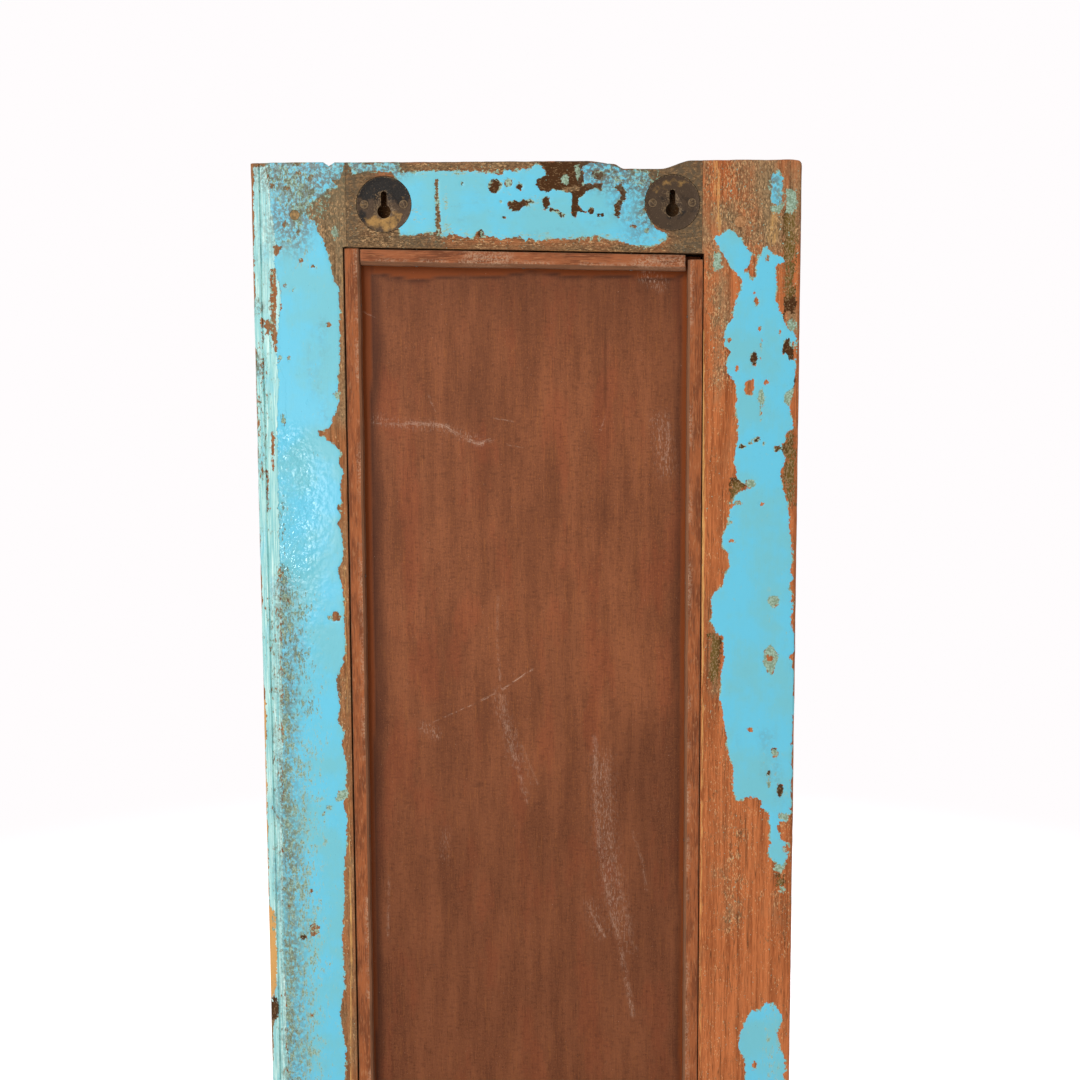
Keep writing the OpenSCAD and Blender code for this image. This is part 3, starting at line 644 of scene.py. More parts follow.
HANGING_PAINT = PaintMap(
    coats={
        Coat.TOP: (HANGING_TOP_COAT, HANGING_TOP_SPOT, HANGING_LOW_COAT),
        Coat.UNDERCOAT: (
            ((713, 254), (721, 253), (721, 270), (714, 272)),
            ((786, 188), (797, 190), (796, 214), (786, 212)),
            ((787, 320), (796, 320), (796, 333), (788, 330)),
            ((758, 260), (764, 260), (763, 274), (758, 273)),
            ((774, 862), (787, 864), (781, 873), (775, 870)),
            ((779, 887), (785, 887), (785, 892), (779, 892)),
            ((782, 388), (794, 388), (790, 406), (784, 402)),
            ((735, 786), (744, 790), (738, 799), (734, 794)),
            ((768, 819), (776, 828), (779, 836), (770, 828)),
            ((773, 204), (785, 204), (779, 214), (770, 210)),
        ),
        Coat.PRIMER: (
            HANGING_OLIVE_STRIP, HANGING_DARK_STREAK,
            ((784, 374), (792, 371), (796, 380), (793, 392), (786, 389)),
            ((785, 284), (796, 286), (796, 330), (783, 318)),
            ((775, 874), (786, 874), (784, 886), (776, 885)),
            ((709, 634), (716, 633), (722, 640), (721, 662), (716, 684), (708, 678), (711, 655)),
        ),
    },
    chips={
        None: (
            HANGING_ORANGE_BITE, HANGING_SQUARE_CHIP, Oval(754, 298, 759.4, 306), Oval(758, 326, 762, 330.4),
            Oval(763, 380.5, 768.4, 384.4), Oval(760.4, 502, 763.4, 505.4), Oval(778.5, 329, 781, 334),
            Oval(728, 338, 731, 342), Oval(753, 292, 755.4, 295), Oval(735.6, 365.6, 738, 371),
            Oval(729.5, 539, 735, 543.6), Oval(787, 712, 791.4, 715.4), Oval(766.4, 655, 772, 661),
            Oval(747.6, 727, 753.4, 732), Oval(744, 268, 748, 274), Oval(766, 256, 770, 262),
            Oval(785, 311, 792, 321), Oval(752, 1062, 757, 1070), Oval(740, 1140, 744, 1152),
        ),
        Coat.PRIMER: (
            HANGING_OLIVE_NOTCH, HANGING_BROWN_CHIP, Oval(750, 351, 757.4, 365), Oval(739, 444, 745, 449.4),
            Oval(747.5, 441.4, 751.4, 445.2), Oval(752.4, 437, 760.4, 442.2), Oval(762, 442, 765.4, 446.2),
            Oval(771, 748, 777, 756), Oval(766, 770, 770.4, 776), Oval(767, 779, 771.4, 788),
            Oval(777, 784, 783.4, 797), Oval(773.6, 446, 781, 452), Oval(760.4, 389, 763.6, 394),
        ),
        Coat.UNDERCOAT: (
            HANGING_DIAMOND, Oval(758, 389, 765, 405.4), Oval(767.6, 595, 779, 607.5),
            Oval(746, 479, 756, 488), Oval(734, 501, 742, 505), Oval(772, 750, 778, 757),
            Oval(778, 813, 787, 820), Oval(760, 340, 762, 352), Oval(759.6, 406, 761.6, 421),
            Oval(783, 846, 787, 852),
        ),
    },
    stains={
        Stain.SPECKLE: (
            Stroke(((775, 185), (790, 200)), 18, 0.6), Stroke(((712, 252), (722, 268)), 12, 0.4),
            Stroke(((790, 405), (790, 420)), 10, 0.4), Stroke(((790, 540), (792, 620)), 8, 0.3),
            Stroke(((765, 745), (783, 795)), 20, 0.24), Stroke(((770, 590), (775, 612)), 14, 0.25),
            Stroke(((770, 1010), (778, 1250)), 18, 0.55),
        ),
        Stain.GRIME: (Stroke(((775, 180), (780, 200)), 14, 0.8), Stroke(((765, 740), (780, 800)), 20, 0.3)),
        Stain.TAN: (
            Stroke(((706, 160), (708, 250)), 16, 0.5), Stroke(((760, 165), (780, 230)), 46, 0.85),
            Stroke(((790, 165), (792, 215)), 22, 0.7), Stroke(((790, 290), (792, 330)), 12, 0.6),
            Stroke(((722, 215), (750, 232)), 34, 0.75), Stroke(((712, 245), (726, 330)), 20, 0.5),
            Stroke(((716, 320), (719, 400)), 12, 0.35), Stroke(((726, 870), (732, 925)), 18, 0.35),
            Stroke(((712, 600), (713, 690)), 14, 0.6),
        ),
        Stain.OLIVE: (
            Stroke(((792, 210), (788, 290)), 16, 1.0), Stroke(((790, 430), (789, 500)), 18, 0.9),
            Stroke(((738, 488), (734, 500)), 14, 1.0), Stroke(((712, 635), (714, 685)), 14, 0.9),
            Stroke(((760, 165), (758, 220)), 14, 0.6), Stroke(((780, 878), (780, 884)), 10, 0.8),
        ),
        Stain.FLECK: (
            Stroke(((720, 165), (760, 240), (786, 240)), 60, 0.85), Stroke(((714, 250), (722, 380)), 20, 0.8),
            Stroke(((716, 640), (722, 800), (722, 870)), 18, 0.3), Stroke(((736, 830), (730, 925)), 20, 0.75),
            Stroke(((790, 820), (788, 940)), 14, 0.5),
        ),
        # Painted highlights along the inner arris, and raw ochre wood higher up and along the outer edge
        Stain.OCHRE: (
            Stroke(((703, 330), (703, 700), (701.5, 946), (700, 1150)), 2.8, 0.6),
            Stroke(((716, 160), (720, 235)), 9, 0.35), Stroke(((775, 212), (772, 240)), 14, 0.4),
            Stroke(((800, 640), (795, 946)), 3, 0.35),
        ),
    },
    base={Stain.FLECK: 0.08},
)

LOW_RAIL_TOP_COAT = (
    (366, 1163), (400, 1157), (470, 1166), (540, 1160), (610, 1168), (680, 1158), (698, 1172), (690, 1200),
    (700, 1226), (640, 1232), (560, 1228), (500, 1234), (430, 1229), (380, 1235), (356, 1222), (364, 1190),
)
LOW_RAIL_CHIP = ((428, 1184), (436, 1180), (447, 1186), (443, 1192), (450, 1197), (439, 1196), (431, 1190))
LOW_RAIL_LONG_CHIP = (
    (578, 1203), (590, 1199), (600, 1202), (612, 1200), (607, 1208), (596, 1206), (588, 1211),
)
LOW_RAIL_PAINT = PaintMap(
    coats={Coat.TOP: (LOW_RAIL_TOP_COAT,)},
    chips={
        Coat.PRIMER: (
            LOW_RAIL_CHIP, LOW_RAIL_LONG_CHIP, Oval(645, 1178, 653, 1190), Oval(471, 1173, 476, 1177),
            Oval(456, 1189, 459, 1193), Oval(622, 1213, 629, 1218),
        ),
        None: (Oval(500, 1206, 512, 1212), Oval(390, 1204, 398, 1210), Oval(540, 1176, 546, 1180)),
    },
    stains={
        Stain.TAN: (Stroke(((350, 1190), (350, 1230)), 30, 0.8), Stroke(((702, 1170), (702, 1240)), 24, 0.8)),
        Stain.SPECKLE: (
            Stroke(((370, 1226), (520, 1230), (695, 1228)), 16, 0.65),
            Stroke(((364, 1166), (368, 1222)), 18, 0.6), Stroke(((580, 1166), (690, 1166)), 12, 0.6),
        ),
        Stain.GRIME: (
            Stroke(((420, 1190), (520, 1204)), 34, 0.45), Stroke(((640, 1170), (690, 1220)), 34, 0.5),
        ),
    },
    base={Stain.TAN: 0.25},
)


def deselect_all() -> None:
    """Leaves edit mode and selects nothing."""
    if bpy.context.object and bpy.context.object.mode != "OBJECT":
        bpy.ops.object.mode_set(mode="OBJECT")
    bpy.ops.object.select_all(action="DESELECT")


def activate(piece: Piece) -> None:
    """Makes a piece the only one selected, and the active one.

    Args:
        piece: The piece.
    """
    deselect_all()
    piece.select_set(True)
    bpy.context.view_layer.objects.active = piece


def corners_of(piece: Piece) -> Array:
    """Reads where a piece's vertices lie.

    Args:
        piece: The piece.

    Returns:
        Their places in millimetres, one row each.
    """
    flat = np.empty(len(piece.data.vertices) * 3)
    piece.data.vertices.foreach_get("co", flat)
    return flat.reshape(-1, 3) / MM


def move_corners(piece: Piece, places: Array) -> None:
    """Puts a piece's vertices at places in millimetres."""
    piece.data.vertices.foreach_set("co", (places * MM).ravel())
    piece.data.update()


def off_axis(places: Array, x: float, z: float | Array) -> Array:
    """Distance of each point from an axis along Y."""
    return np.hypot(places[:, 0] - x, places[:, 2] - z)


def edit_faces(piece: Piece, wanted: Callable[[Array, Array], Array]) -> None:
    """Enters edit mode with some faces selected.

    Args:
        piece: The piece to edit.
        wanted: Says which faces to select, from their middles in millimetres and their normals.
    """
    middles, normals = (np.empty(len(piece.data.polygons) * 3) for _ in range(2))
    piece.data.polygons.foreach_get("center", middles)
    piece.data.polygons.foreach_get("normal", normals)
    chosen = np.flatnonzero(wanted(middles.reshape(-1, 3) / MM, normals.reshape(-1, 3)))
    activate(piece)
    bpy.ops.object.mode_set(mode="EDIT")
    bpy.ops.mesh.select_mode(type="FACE")
    bpy.ops.mesh.select_all(action="DESELECT")
    shell = bmesh.from_edit_mesh(piece.data)
    shell.faces.ensure_lookup_table()
    for number in chosen:
        shell.faces[number].select_set(True)
    bmesh.update_edit_mesh(piece.data)


def back_faces(middle: Array, normal: Array) -> Array:
    """Wants the faces that look at the wall."""
    return normal[:, 1] > 0.9


def front_faces(middle: Array, normal: Array) -> Array:
    """Wants the faces that look away from the wall."""
    return normal[:, 1] < -0.9


def leave_edit(outwards: bool = False) -> None:
    """Leaves edit mode.

    Args:
        outwards: Whether all faces are first turned outwards.
    """
    if outwards:
        bpy.ops.mesh.select_all(action="SELECT")
        bpy.ops.mesh.normals_make_consistent(inside=False)
    bpy.ops.object.mode_set(mode="OBJECT")


def extrude_by(x: float = 0.0, y: float = 0.0, z: float = 0.0) -> None:
    """Extrudes the selected faces by a step in millimetres."""
    bpy.ops.mesh.extrude_region_move(TRANSFORM_OT_translate={"value": (x * MM, y * MM, z * MM)})


def thicken(piece: Piece, rows: Sequence[float]) -> None:
    """Extrudes a whole grid to one depth after another and closes it.

    Args:
        piece: The grid.
        rows: The depths, in millimetres from its own.
    """
    edit_faces(piece, lambda middle, normal: np.ones(len(middle), bool))
    level = 0.0
    for depth in rows:
        extrude_by(y=depth - level)
        level = depth
    leave_edit(outwards=True)


def inset_steps(*steps: Point) -> None:
    """Insets the selected faces again and again, each time by a width and a rise in millimetres."""
    for width, up in steps:
        bpy.ops.mesh.inset(thickness=width * MM, depth=up * MM)


def place_in_mesh(name: str, size: Spot = (1.0, 1.0, 1.0)) -> Piece:
    """Names the new primitive, gives it its size and moves its place into its mesh.

    Args:
        name: Its name.
        size: Its scale along X, Y and Z.

    Returns:
        The new object.
    """
    made = bpy.context.object
    made.name = name
    made.scale = size
    bpy.ops.object.transform_apply(location=True, rotation=True, scale=True)
    return made


def plate_grid(name: str, x: Point, z: Point, y: float, pitch: float) -> Piece:
    """Adds an upright grid that faces the wall.

    Args:
        name: The new object's name.
        x: Its sides.
        z: Its lower and upper end.
        y: Its depth.
        pitch: Size of its squares.

    Returns:
        The grid.
    """
    wide, tall = x[1] - x[0], z[1] - z[0]
    deselect_all()
    bpy.ops.mesh.primitive_grid_add(
        x_subdivisions=max(2, round(wide / pitch)), y_subdivisions=max(2, round(tall / pitch)), size=1,
        location=(sum(x) / 2 * MM, y * MM, sum(z) / 2 * MM), rotation=(-math.pi / 2, 0, 0),
    )
    return place_in_mesh(name, (wide * MM, tall * MM, 1))


def bar_y(name: str, x: float, z: float, radius: float, y: Point, sides: int = 48) -> Piece:
    """Adds a round bar along Y.

    Args:
        name: The new object's name.
        x: Where its middle lies along X.
        z: Where its middle lies along Z.
        radius: Its radius.
        y: Its front and back.
        sides: How many flat sides it has around.

    Returns:
        The bar.
    """
    deselect_all()
    bpy.ops.mesh.primitive_cylinder_add(
        vertices=sides, radius=radius * MM, depth=(y[1] - y[0]) * MM,
        location=(x * MM, sum(y) / 2 * MM, z * MM), rotation=(math.pi / 2, 0, 0),
    )
    return place_in_mesh(name)


def block(name: str, low: Sequence[float], high: Sequence[float]) -> Piece:
    """Adds a block.

    Args:
        name: The new object's name.
        low: Its lowest corner in millimetres.
        high: Its highest corner.

    Returns:
        The block.
    """
    deselect_all()
    bpy.ops.mesh.primitive_cube_add(size=1, location=[(a + b) / 2 * MM for a, b in zip(low, high)])
    return place_in_mesh(name, [(b - a) * MM for a, b in zip(low, high)])


def apply_modifier(piece: Piece, kind: str, **settings: object) -> None:
    """Adds a modifier and applies it.

    Args:
        piece: The piece that it changes.
        kind: The modifier's type.
        settings: Its settings.
    """
    modifier = piece.modifiers.new(kind.lower(), kind)
    for name, value in settings.items():
        setattr(modifier, name, value)
    activate(piece)
    bpy.ops.object.modifier_apply(modifier=modifier.name)


def combine(piece: Piece, other: Piece, operation: str = "DIFFERENCE") -> None:
    """Cuts another object out of a piece, or joins it to the piece, and removes the other object."""
    apply_modifier(piece, "BOOLEAN", object=other, operation=operation, solver="EXACT")
    bpy.data.objects.remove(other)


def on_lines(values: Array, keys: Sequence[float]) -> Array:
    """Moves whole inner lines of a grid onto given places.

    Args:
        values: Each vertex's place across the lines, in millimetres.
        keys: Places that must have a line.

    Returns:
        The moved places.
    """
    lines, member = np.unique(np.round(values, 3), return_inverse=True)
    moved, last = lines.copy(), 0
    for number, key in enumerate(sorted(keys)):
        near = max(last + 1, int(np.abs(lines - key).argmin()))
        last = min(near, len(lines) - 1 - len(keys) + number)
        moved[last] = key
    return np.maximum.accumulate(moved)[member]


def write_map(piece: Piece, name: str, values: Array | float) -> None:
    """Writes an attribute of a piece's vertices.

    Args:
        piece: The piece.
        name: The attribute's name.
        values: One number for each vertex, or one for all of them.
    """
    values = np.broadcast_to(values, len(piece.data.vertices))
    layer = piece.data.attributes.new(name, "FLOAT", "POINT")
    layer.data.foreach_set("value", np.ascontiguousarray(values, np.float32))


def hand_over(piece: Piece, node: str, finish: Finish, sharp: float = 35.0) -> None:
    """Finishes a piece and puts it in the place of its solid.

    Args:
        piece: The finished piece.
        node: The solid that it stands for.
        finish: Its material.
        sharp: Angle in degrees above which an edge stays sharp.
    """
    activate(piece)
    bpy.ops.object.shade_smooth_by_angle(angle=math.radians(sharp))
    piece.data.materials.clear()
    piece.data.materials.append(finish)
    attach(piece, BODY)
    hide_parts(node)
    log.info("%s: %d faces", piece.name, len(piece.data.polygons))


class Node(Enum):
    """Kind of shader node: its type, the sockets of its inputs in order, its output and its settings."""

    PLACES = ("TexCoord", (), "Object", {})
    MAPPING = ("Mapping", ("Vector", "Scale", "Location"), 0, {})
    NOISE = ("TexNoise", ("Vector", "Scale", "Detail", "Roughness"), 0, {})
    MARK = ("Attribute", (), "Fac", {})
    JOIN = ("CombineXYZ", (0, 1, 2), 0, {})
    DEPTH = ("SeparateXYZ", (0,), "Y", {})
    LENGTH = ("VectorMath", (0,), "Value", {"operation": "LENGTH"})
    SHARE = ("MapRange", (0, 1, 2, 3, 4), 0, {"interpolation_type": "SMOOTHSTEP"})
    TIMES_PLUS = ("Math", (0, 1, 2), 0, {"operation": "MULTIPLY_ADD"})
    TIMES = ("Math", (0, 1), 0, {"operation": "MULTIPLY"})
    HIGHER = ("Math", (0, 1), 0, {"operation": "MAXIMUM"})
    LOWER = ("Math", (0, 1), 0, {"operation": "MINIMUM"})
    SIZE = ("Math", (0,), 0, {"operation": "ABSOLUTE"})
    MIX = ("Mix", (0, 6, 7), 2, {"data_type": "RGBA"})
    BUMP = ("Bump", ("Height", "Distance"), 0, {})
    PRINCIPLED = (
        "BsdfPrincipled", ("Base Color", "Roughness", "Specular IOR Level", "Metallic", "Normal"), 0, {},
    )
    DIFFUSE = ("BsdfDiffuse", ("Color",), 0, {})
    EMISSION = ("Emission", ("Color", "Strength"), 0, {})
    CLEAR = ("BsdfTransparent", (), 0, {})
    MIX_SHADER = ("MixShader", (0, 1, 2), 0, {})
    ADD_SHADER = ("AddShader", (0, 1), 0, {})
    RAY = ("LightPath", (), 0, {})
    BACKGROUND = ("Background", ("Color", "Strength"), 0, {})
    SURFACE = ("OutputMaterial", (0,), None, {})
    SKY = ("OutputWorld", (0,), None, {})


class Graph:
    """Node tree of a new material or of the surroundings."""

    def __init__(self, owner: Finish | bpy.types.World) -> None:
        """Empties the tree.

        Args:
            owner: The new material or world.
        """
        owner.use_nodes = True
        self.owner, self.tree = owner, owner.node_tree
        self.tree.nodes.clear()

    def add(
        self, kind: Node, *inputs: object, output: str | None = None, **settings: object
    ) -> Socket | None:
        """Adds a node with its settings and links.

        Args:
            kind: The node's kind.
            inputs: What goes into its sockets: other outputs, numbers or hex colours. None is left out.
            output: The output to read, where it isn't its kind's own.
            settings: More settings of the node.

        Returns:
            The output, or None if the node has none.
        """
        node_type, sockets, own_output, own_settings = kind.value
        node = self.tree.nodes.new("ShaderNode" + node_type)
        for name, value in (own_settings | settings).items():
            setattr(node, name, value)
        for key, value in zip(sockets, inputs):
            if isinstance(value, Socket):
                self.tree.links.new(value, node.inputs[key])
            elif value is not None:
                node.inputs[key].default_value = linear(value) if isinstance(value, str) else value
        read = own_output if output is None else output
        return None if read is None else node.outputs[read]

    def patches(
        self, size: float, drawn: Spot = (1, 1, 1), shift: Spot = (0, 0, 0), detail: float = 3.0,
        roughness: float = 0.6,
    ) -> Socket:
        """Noise on the piece's own coordinates.

        Args:
            size: Size of its patches in millimetres.
            drawn: How far they are drawn out along X, Y and Z. Less than 1 makes them longer.
            shift: Shifts the pattern, in millimetres.
            detail: How many finer layers it has.
            roughness: Share of each finer layer.

        Returns:
            Values from 0 to 1.
        """
        scale = [share / MM for share in drawn]
        places = self.add(Node.MAPPING, self.add(Node.PLACES), scale, shift)
        return self.add(Node.NOISE, places, 1 / size, detail, roughness)

    def total(self, start: float, *parts: tuple[Socket, float]) -> Socket:
        """Adds values, each times its share, to a number.

        Args:
            start: The number.
            parts: The values with their shares.

        Returns:
            The sum.
        """
        result = start
        for value, share in parts:
            result = self.add(Node.TIMES_PLUS, value, share, result)
        return result

    def lay(
        self, under: Colour, over: Colour, value: Socket, low: float, high: float, strength: float = 1.0
    ) -> Socket:
        """Lays a colour over another one where a value goes from low to high."""
        return self.add(Node.MIX, self.add(Node.SHARE, value, low, high, 0.0, strength), under, over)

    def finish(
        self, colour: Socket, roughness: Socket | float, specular: Socket | float | None = None,
        metallic: Socket | None = None, height: Socket | None = None,
    ) -> Finish:
        """Ends the tree in a Principled shader.

        Args:
            colour: Its base colour.
            roughness: Its roughness.
            specular: Its specular level, where it isn't the usual one.
            metallic: How metallic it is.
            height: Height of the surface in millimetres, for its bump.

        Returns:
            The material.
        """
        normal = None if height is None else self.add(Node.BUMP, height, MM)
        self.add(Node.SURFACE, self.add(Node.PRINCIPLED, colour, roughness, specular, metallic, normal))
        return self.owner


@dataclass(frozen=True)
class FlakingPaint:
    """Teak with oil paint, brushed on over an older coat, an undercoat and a brown primer.

    The eye gets smooth paint with a soft gloss, whose edges have broken off crisply. They show a rim of dull
    undercoat, then dark primer, then dry wood with fibres drawn out along its grain.
    """

    name: str
    grain: Grain
    wood: str = "#C07040"
    wood_dark: str = "#8A4A26"
    tan: str = "#9C7E5A"
    tan_dark: str = "#6B563C"
    # Height of the brush marks in the top coat and of the dabs in it, in millimetres
    dapple: float = 0.02
    dab: float = 1.3
    # Roughness of the dry wood and of the paint, and how much smoother the dabs are
    dry: float = 0.75
    gloss: float = 0.33
    dab_gloss: float = 0.24
    top: str = "#60BFD8"
    top_dull: str = "#6ABAC6"
    pinhole: str = "#3F7680"
    old: str = "#B0DCD5"
    old_shade: str = "#86C4C4"
    old_light: str = "#D6EFE6"
    under: str = "#9FB9A4"
    under_shade: str = "#7C9078"
    primer: str = "#44280F"
    olive: str = "#665023"
    fibre: str = "#DDB27E"
    pore: str = "#3F2A18"
    # Raw ochre wood, also painted along lit arrises as their highlight
    ochre: str = "#D3A05E"
    dirt: str = "#605944"
    # Sizes of the flakes, of the nibbles along their edges, of the fibres, the specks and the brush's hairs,
    # and the width over which a coat ends, all in millimetres
    flake: float = 6.0
    nibble: float = 1.7
    fibre_w: float = 0.7
    speck: float = 1.4
    brush_w: float = 1.1
    crisp: float = 0.12

    def bare_wood(self, g: Graph, marks: dict[str, Socket], patches: Socket, fibres: Socket) -> Socket:
        """Colour of the dry wood: bands and fibres along the grain, pale flecks, dark pores and cracks, and
        raw ochre, which along lit arrises is a painted highlight.

        Args:
            g: The material's graph.
            marks: The piece's coats and stains.
            patches: Noise of wide patches.
            fibres: Noise of the fibres.

        Returns:
            The colour.
        """
        drawn = self.grain.drawn
        stripes = g.total(0.0, (fibres, 0.5), (g.patches(4.0, drawn(1.3), (5, 5, 5)), 0.5))
        mealy = g.total(0.0, (g.patches(1.1, drawn(0.2), (21, 2, 12), 4.0, 0.7), 0.7), (stripes, 0.3))
        red = g.lay(self.wood_dark, self.wood, stripes, 0.36, 0.6)
        worn = g.lay(self.tan_dark, self.tan, mealy, 0.42, 0.58)
        tone = g.total(-0.75, (patches, 1.5), (marks[Stain.TAN.value], 1.0))
        wood = g.lay(red, worn, tone, 0.05, 0.95)
        crack = g.add(Node.SIZE, g.total(-0.5, (g.patches(7.0, drawn(1.25), (0, 3, 9), 2.0), 1.0)))
        wood = g.lay(wood, self.pore, crack, 0.012, 0.0, 0.6)
        clumps = g.patches(9.0, shift=(3, 7, 60))
        for size, pull, shift, colour, strength in (
            (0.8, 0.4, (3, 60, 9), self.fibre, 0.6), (0.8, 0.36, (50, 2, 80), self.pore, 0.6),
            (1.5, 0.3, (7, 7, 30), self.tan_dark, 0.55),
        ):
            dashes = g.patches(size, drawn(pull), shift)
            dashes = g.total(-0.175, (dashes, 1.0), (marks[Stain.FLECK.value], 0.115), (clumps, 0.35))
            wood = g.lay(wood, colour, dashes, 0.64, 0.72, strength)
        # Raw ochre in the fibres, and painted highlights along lit arrises
        raw = g.total(-0.6, (fibres, 1.2), (marks[Stain.OCHRE.value], 1.0))
        return g.lay(wood, self.ochre, raw, 0.25, 0.6, 0.9)

    def primed(self, g: Graph, marks: dict[str, Socket], patches: Socket) -> Socket:
        """Colour of the primer: dark brown, olive where it is thin, and rubbed down to tan wood in places.

        Args:
            g: The material's graph.
            marks: The piece's coats and stains.
            patches: Noise of wide patches.

        Returns:
            The colour.
        """
        olive = marks[Stain.OLIVE.value]
        primer = g.lay(self.primer, self.olive, g.total(-0.8, (patches, 1.6), (olive, 1.0)), 0.1, 0.9)
        rubbed = g.total(0.0, (g.patches(1.0, self.grain.drawn(0.2), detail=4.0), 1.0), (olive, 0.09))
        return g.lay(primer, self.tan, rubbed, 0.56, 0.66, 0.75)

    def undercoat_depth(self, g: Graph, marks: dict[str, Socket], edge: Socket, top_depth: Socket) -> Socket:
        """How far each point lies inside the undercoat, which shows as islands, as a rim and in crumbs.

        Args:
            g: The material's graph.
            marks: The piece's coats and stains.
            edge: How far the flakes move a coat's edge.
            top_depth: How far each point lies inside the top coat.

        Returns:
            The depth in millimetres.
        """
        rim = g.add(Node.LOWER, g.total(-4.32, (g.patches(12.0), 9.0)), 1.6)
        rim = g.total(0.0, (top_depth, 1.0), (rim, 1.0))
        crumbs = g.patches(2.2, shift=(90, 3, 5), detail=4.0)
        crumbs = g.total(-21.0, (crumbs, 30.0), (marks[Stain.FLECK.value], 1.5))
        islands = g.total(0.0, (marks[Coat.UNDERCOAT.value], 1.0), (edge, 1.8))
        whole = g.add(Node.SHARE, marks[Stain.SPECKLE.value], 0.4, 0.1)
        under_specks = g.total(-6.48, (g.patches(3.0), 12.0), (whole, -20.0))
        depth = g.add(Node.HIGHER, islands, g.add(Node.HIGHER, rim, crumbs))
        return g.add(Node.HIGHER, depth, under_specks)

    def make(self) -> Finish:
        """Builds the material.

        Returns:
            The material.
        """
        g = Graph(bpy.data.materials.new(self.name))
        drawn = self.grain.drawn
        marks = {kind.value: g.add(Node.MARK, attribute_name=kind.value) for kind in (*Coat, *Stain)}
        flakes = g.patches(self.flake)
        nibbles = g.patches(self.nibble, drawn(0.15), (2, 9, 4), 4.0, 0.72)
        edge = g.total(-4.5, (flakes, 4.0), (nibbles, 5.0))
        fibres = g.patches(self.fibre_w, drawn(1.0), detail=5.0, roughness=0.62)
        patches = g.patches(13.0, drawn(0.35), (31, 17, 5), 4.0)
        colour = self.bare_wood(g, marks, patches, fibres)

        # Thin primer tears along the fibres
        thin = marks[Stain.OLIVE.value]
        torn = g.add(Node.TIMES, edge, g.total(1.0, (thin, 2.2)))
        slivers = g.add(Node.TIMES, g.total(-10.6, (fibres, 20.0)), thin)
        primer_depth = g.total(0.0, (marks[Coat.PRIMER.value], 1.0), (torn, 1.0), (slivers, 1.0))
        colour = g.lay(colour, self.primed(g, marks, patches), primer_depth, -0.15, 0.15)

        top_depth = g.total(0.0, (marks[Coat.TOP.value], 1.0), (edge, 1.0))
        under_depth = self.undercoat_depth(g, marks, edge, top_depth)
        under_in = g.add(Node.SHARE, under_depth, -self.crisp, self.crisp)
        under = g.lay(self.under_shade, self.under, g.patches(1.6), 0.42, 0.6)
        colour = g.add(Node.MIX, under_in, colour, under)

        streaks = g.patches(self.brush_w, drawn(1.2), (7, 7, 7), 4.0)
        old = g.lay(self.old_shade, self.old, streaks, 0.4, 0.6)
        old = g.lay(old, self.old_light, streaks, 0.56, 0.7)
        old = g.lay(old, self.top, patches, 0.52, 0.66, 0.35)
        dull = g.total(0.0, (g.patches(45.0, shift=(4, 4, 4), detail=4.0), 1.0), (streaks, 0.12))
        top = g.lay(self.top, self.top_dull, dull, 0.46, 0.68)
        top = g.lay(top, self.pinhole, g.patches(1.3, shift=(60, 8, 3), detail=1.0), 0.74, 0.78, 0.55)

        # Specks are rubbed out of both coats, each with a faint halo
        coarse = g.patches(5.5, drawn(0.15), (1, 2, 3), 6.0, 0.72)
        specks = g.patches(self.speck, drawn(0.38), (11, 90, 40), 4.0, 0.75)
        worn_by = g.total(0.0, (specks, 0.5), (coarse, 0.5), (marks[Stain.SPECKLE.value], 0.175))
        whole = g.add(Node.SHARE, worn_by, 0.675, 0.65)
        halo = g.add(Node.SHARE, worn_by, 0.6, 0.65, 0.0, 0.4)
        old_depth = g.total(0.0, (marks[Coat.OLD.value], 1.0), (edge, 1.0))
        old_in = g.add(Node.TIMES, g.add(Node.SHARE, old_depth, -self.crisp, self.crisp), whole)
        top_in = g.add(Node.TIMES, g.add(Node.SHARE, top_depth, -0.1, 0.1), whole)
        colour = g.add(Node.MIX, old_in, colour, g.add(Node.MIX, halo, old, self.under_shade))
        colour = g.add(Node.MIX, top_in, colour, g.add(Node.MIX, halo, top, self.under))

        grime = g.total(-0.45, (patches, 0.9), (marks[Stain.GRIME.value], 1.0))
        smudge = g.add(Node.SHARE, g.patches(2.8, shift=(8, 1, 2), detail=5.0, roughness=0.7), 0.4, 0.57)
        smudge = g.add(Node.TIMES, smudge, g.add(Node.SHARE, grime, 0.05, 1.0, 0.0, 0.85))
        colour = g.add(Node.MIX, smudge, colour, self.dirt)

        coated = g.add(Node.HIGHER, top_in, old_in)
        ridges = g.add(Node.TIMES, g.total(0.0, (fibres, 0.3)), g.total(1.0, (coated, -1.0)))
        strokes = g.patches(4.4, (1, 1, 0.8), (6, 6, 1), 2.0, 0.5)
        dabs = marks[Stain.DABS.value]
        brush = g.add(Node.TIMES, g.add(Node.TIMES, strokes, g.total(self.dapple, (dabs, self.dab))), top_in)
        film = g.total(0.0, (top_in, 0.16), (old_in, 0.06), (under_in, 0.05), (streaks, 0.03))
        polish = g.add(Node.TIMES, coated, g.total(self.dry - self.gloss, (dabs, self.dab_gloss)))
        return g.finish(
            colour, g.total(self.dry, (polish, -1.0)), g.total(0.12, (coated, 0.28)),
            height=g.total(0.0, (film, 1.0), (ridges, 1.0), (brush, 1.0)),
        )


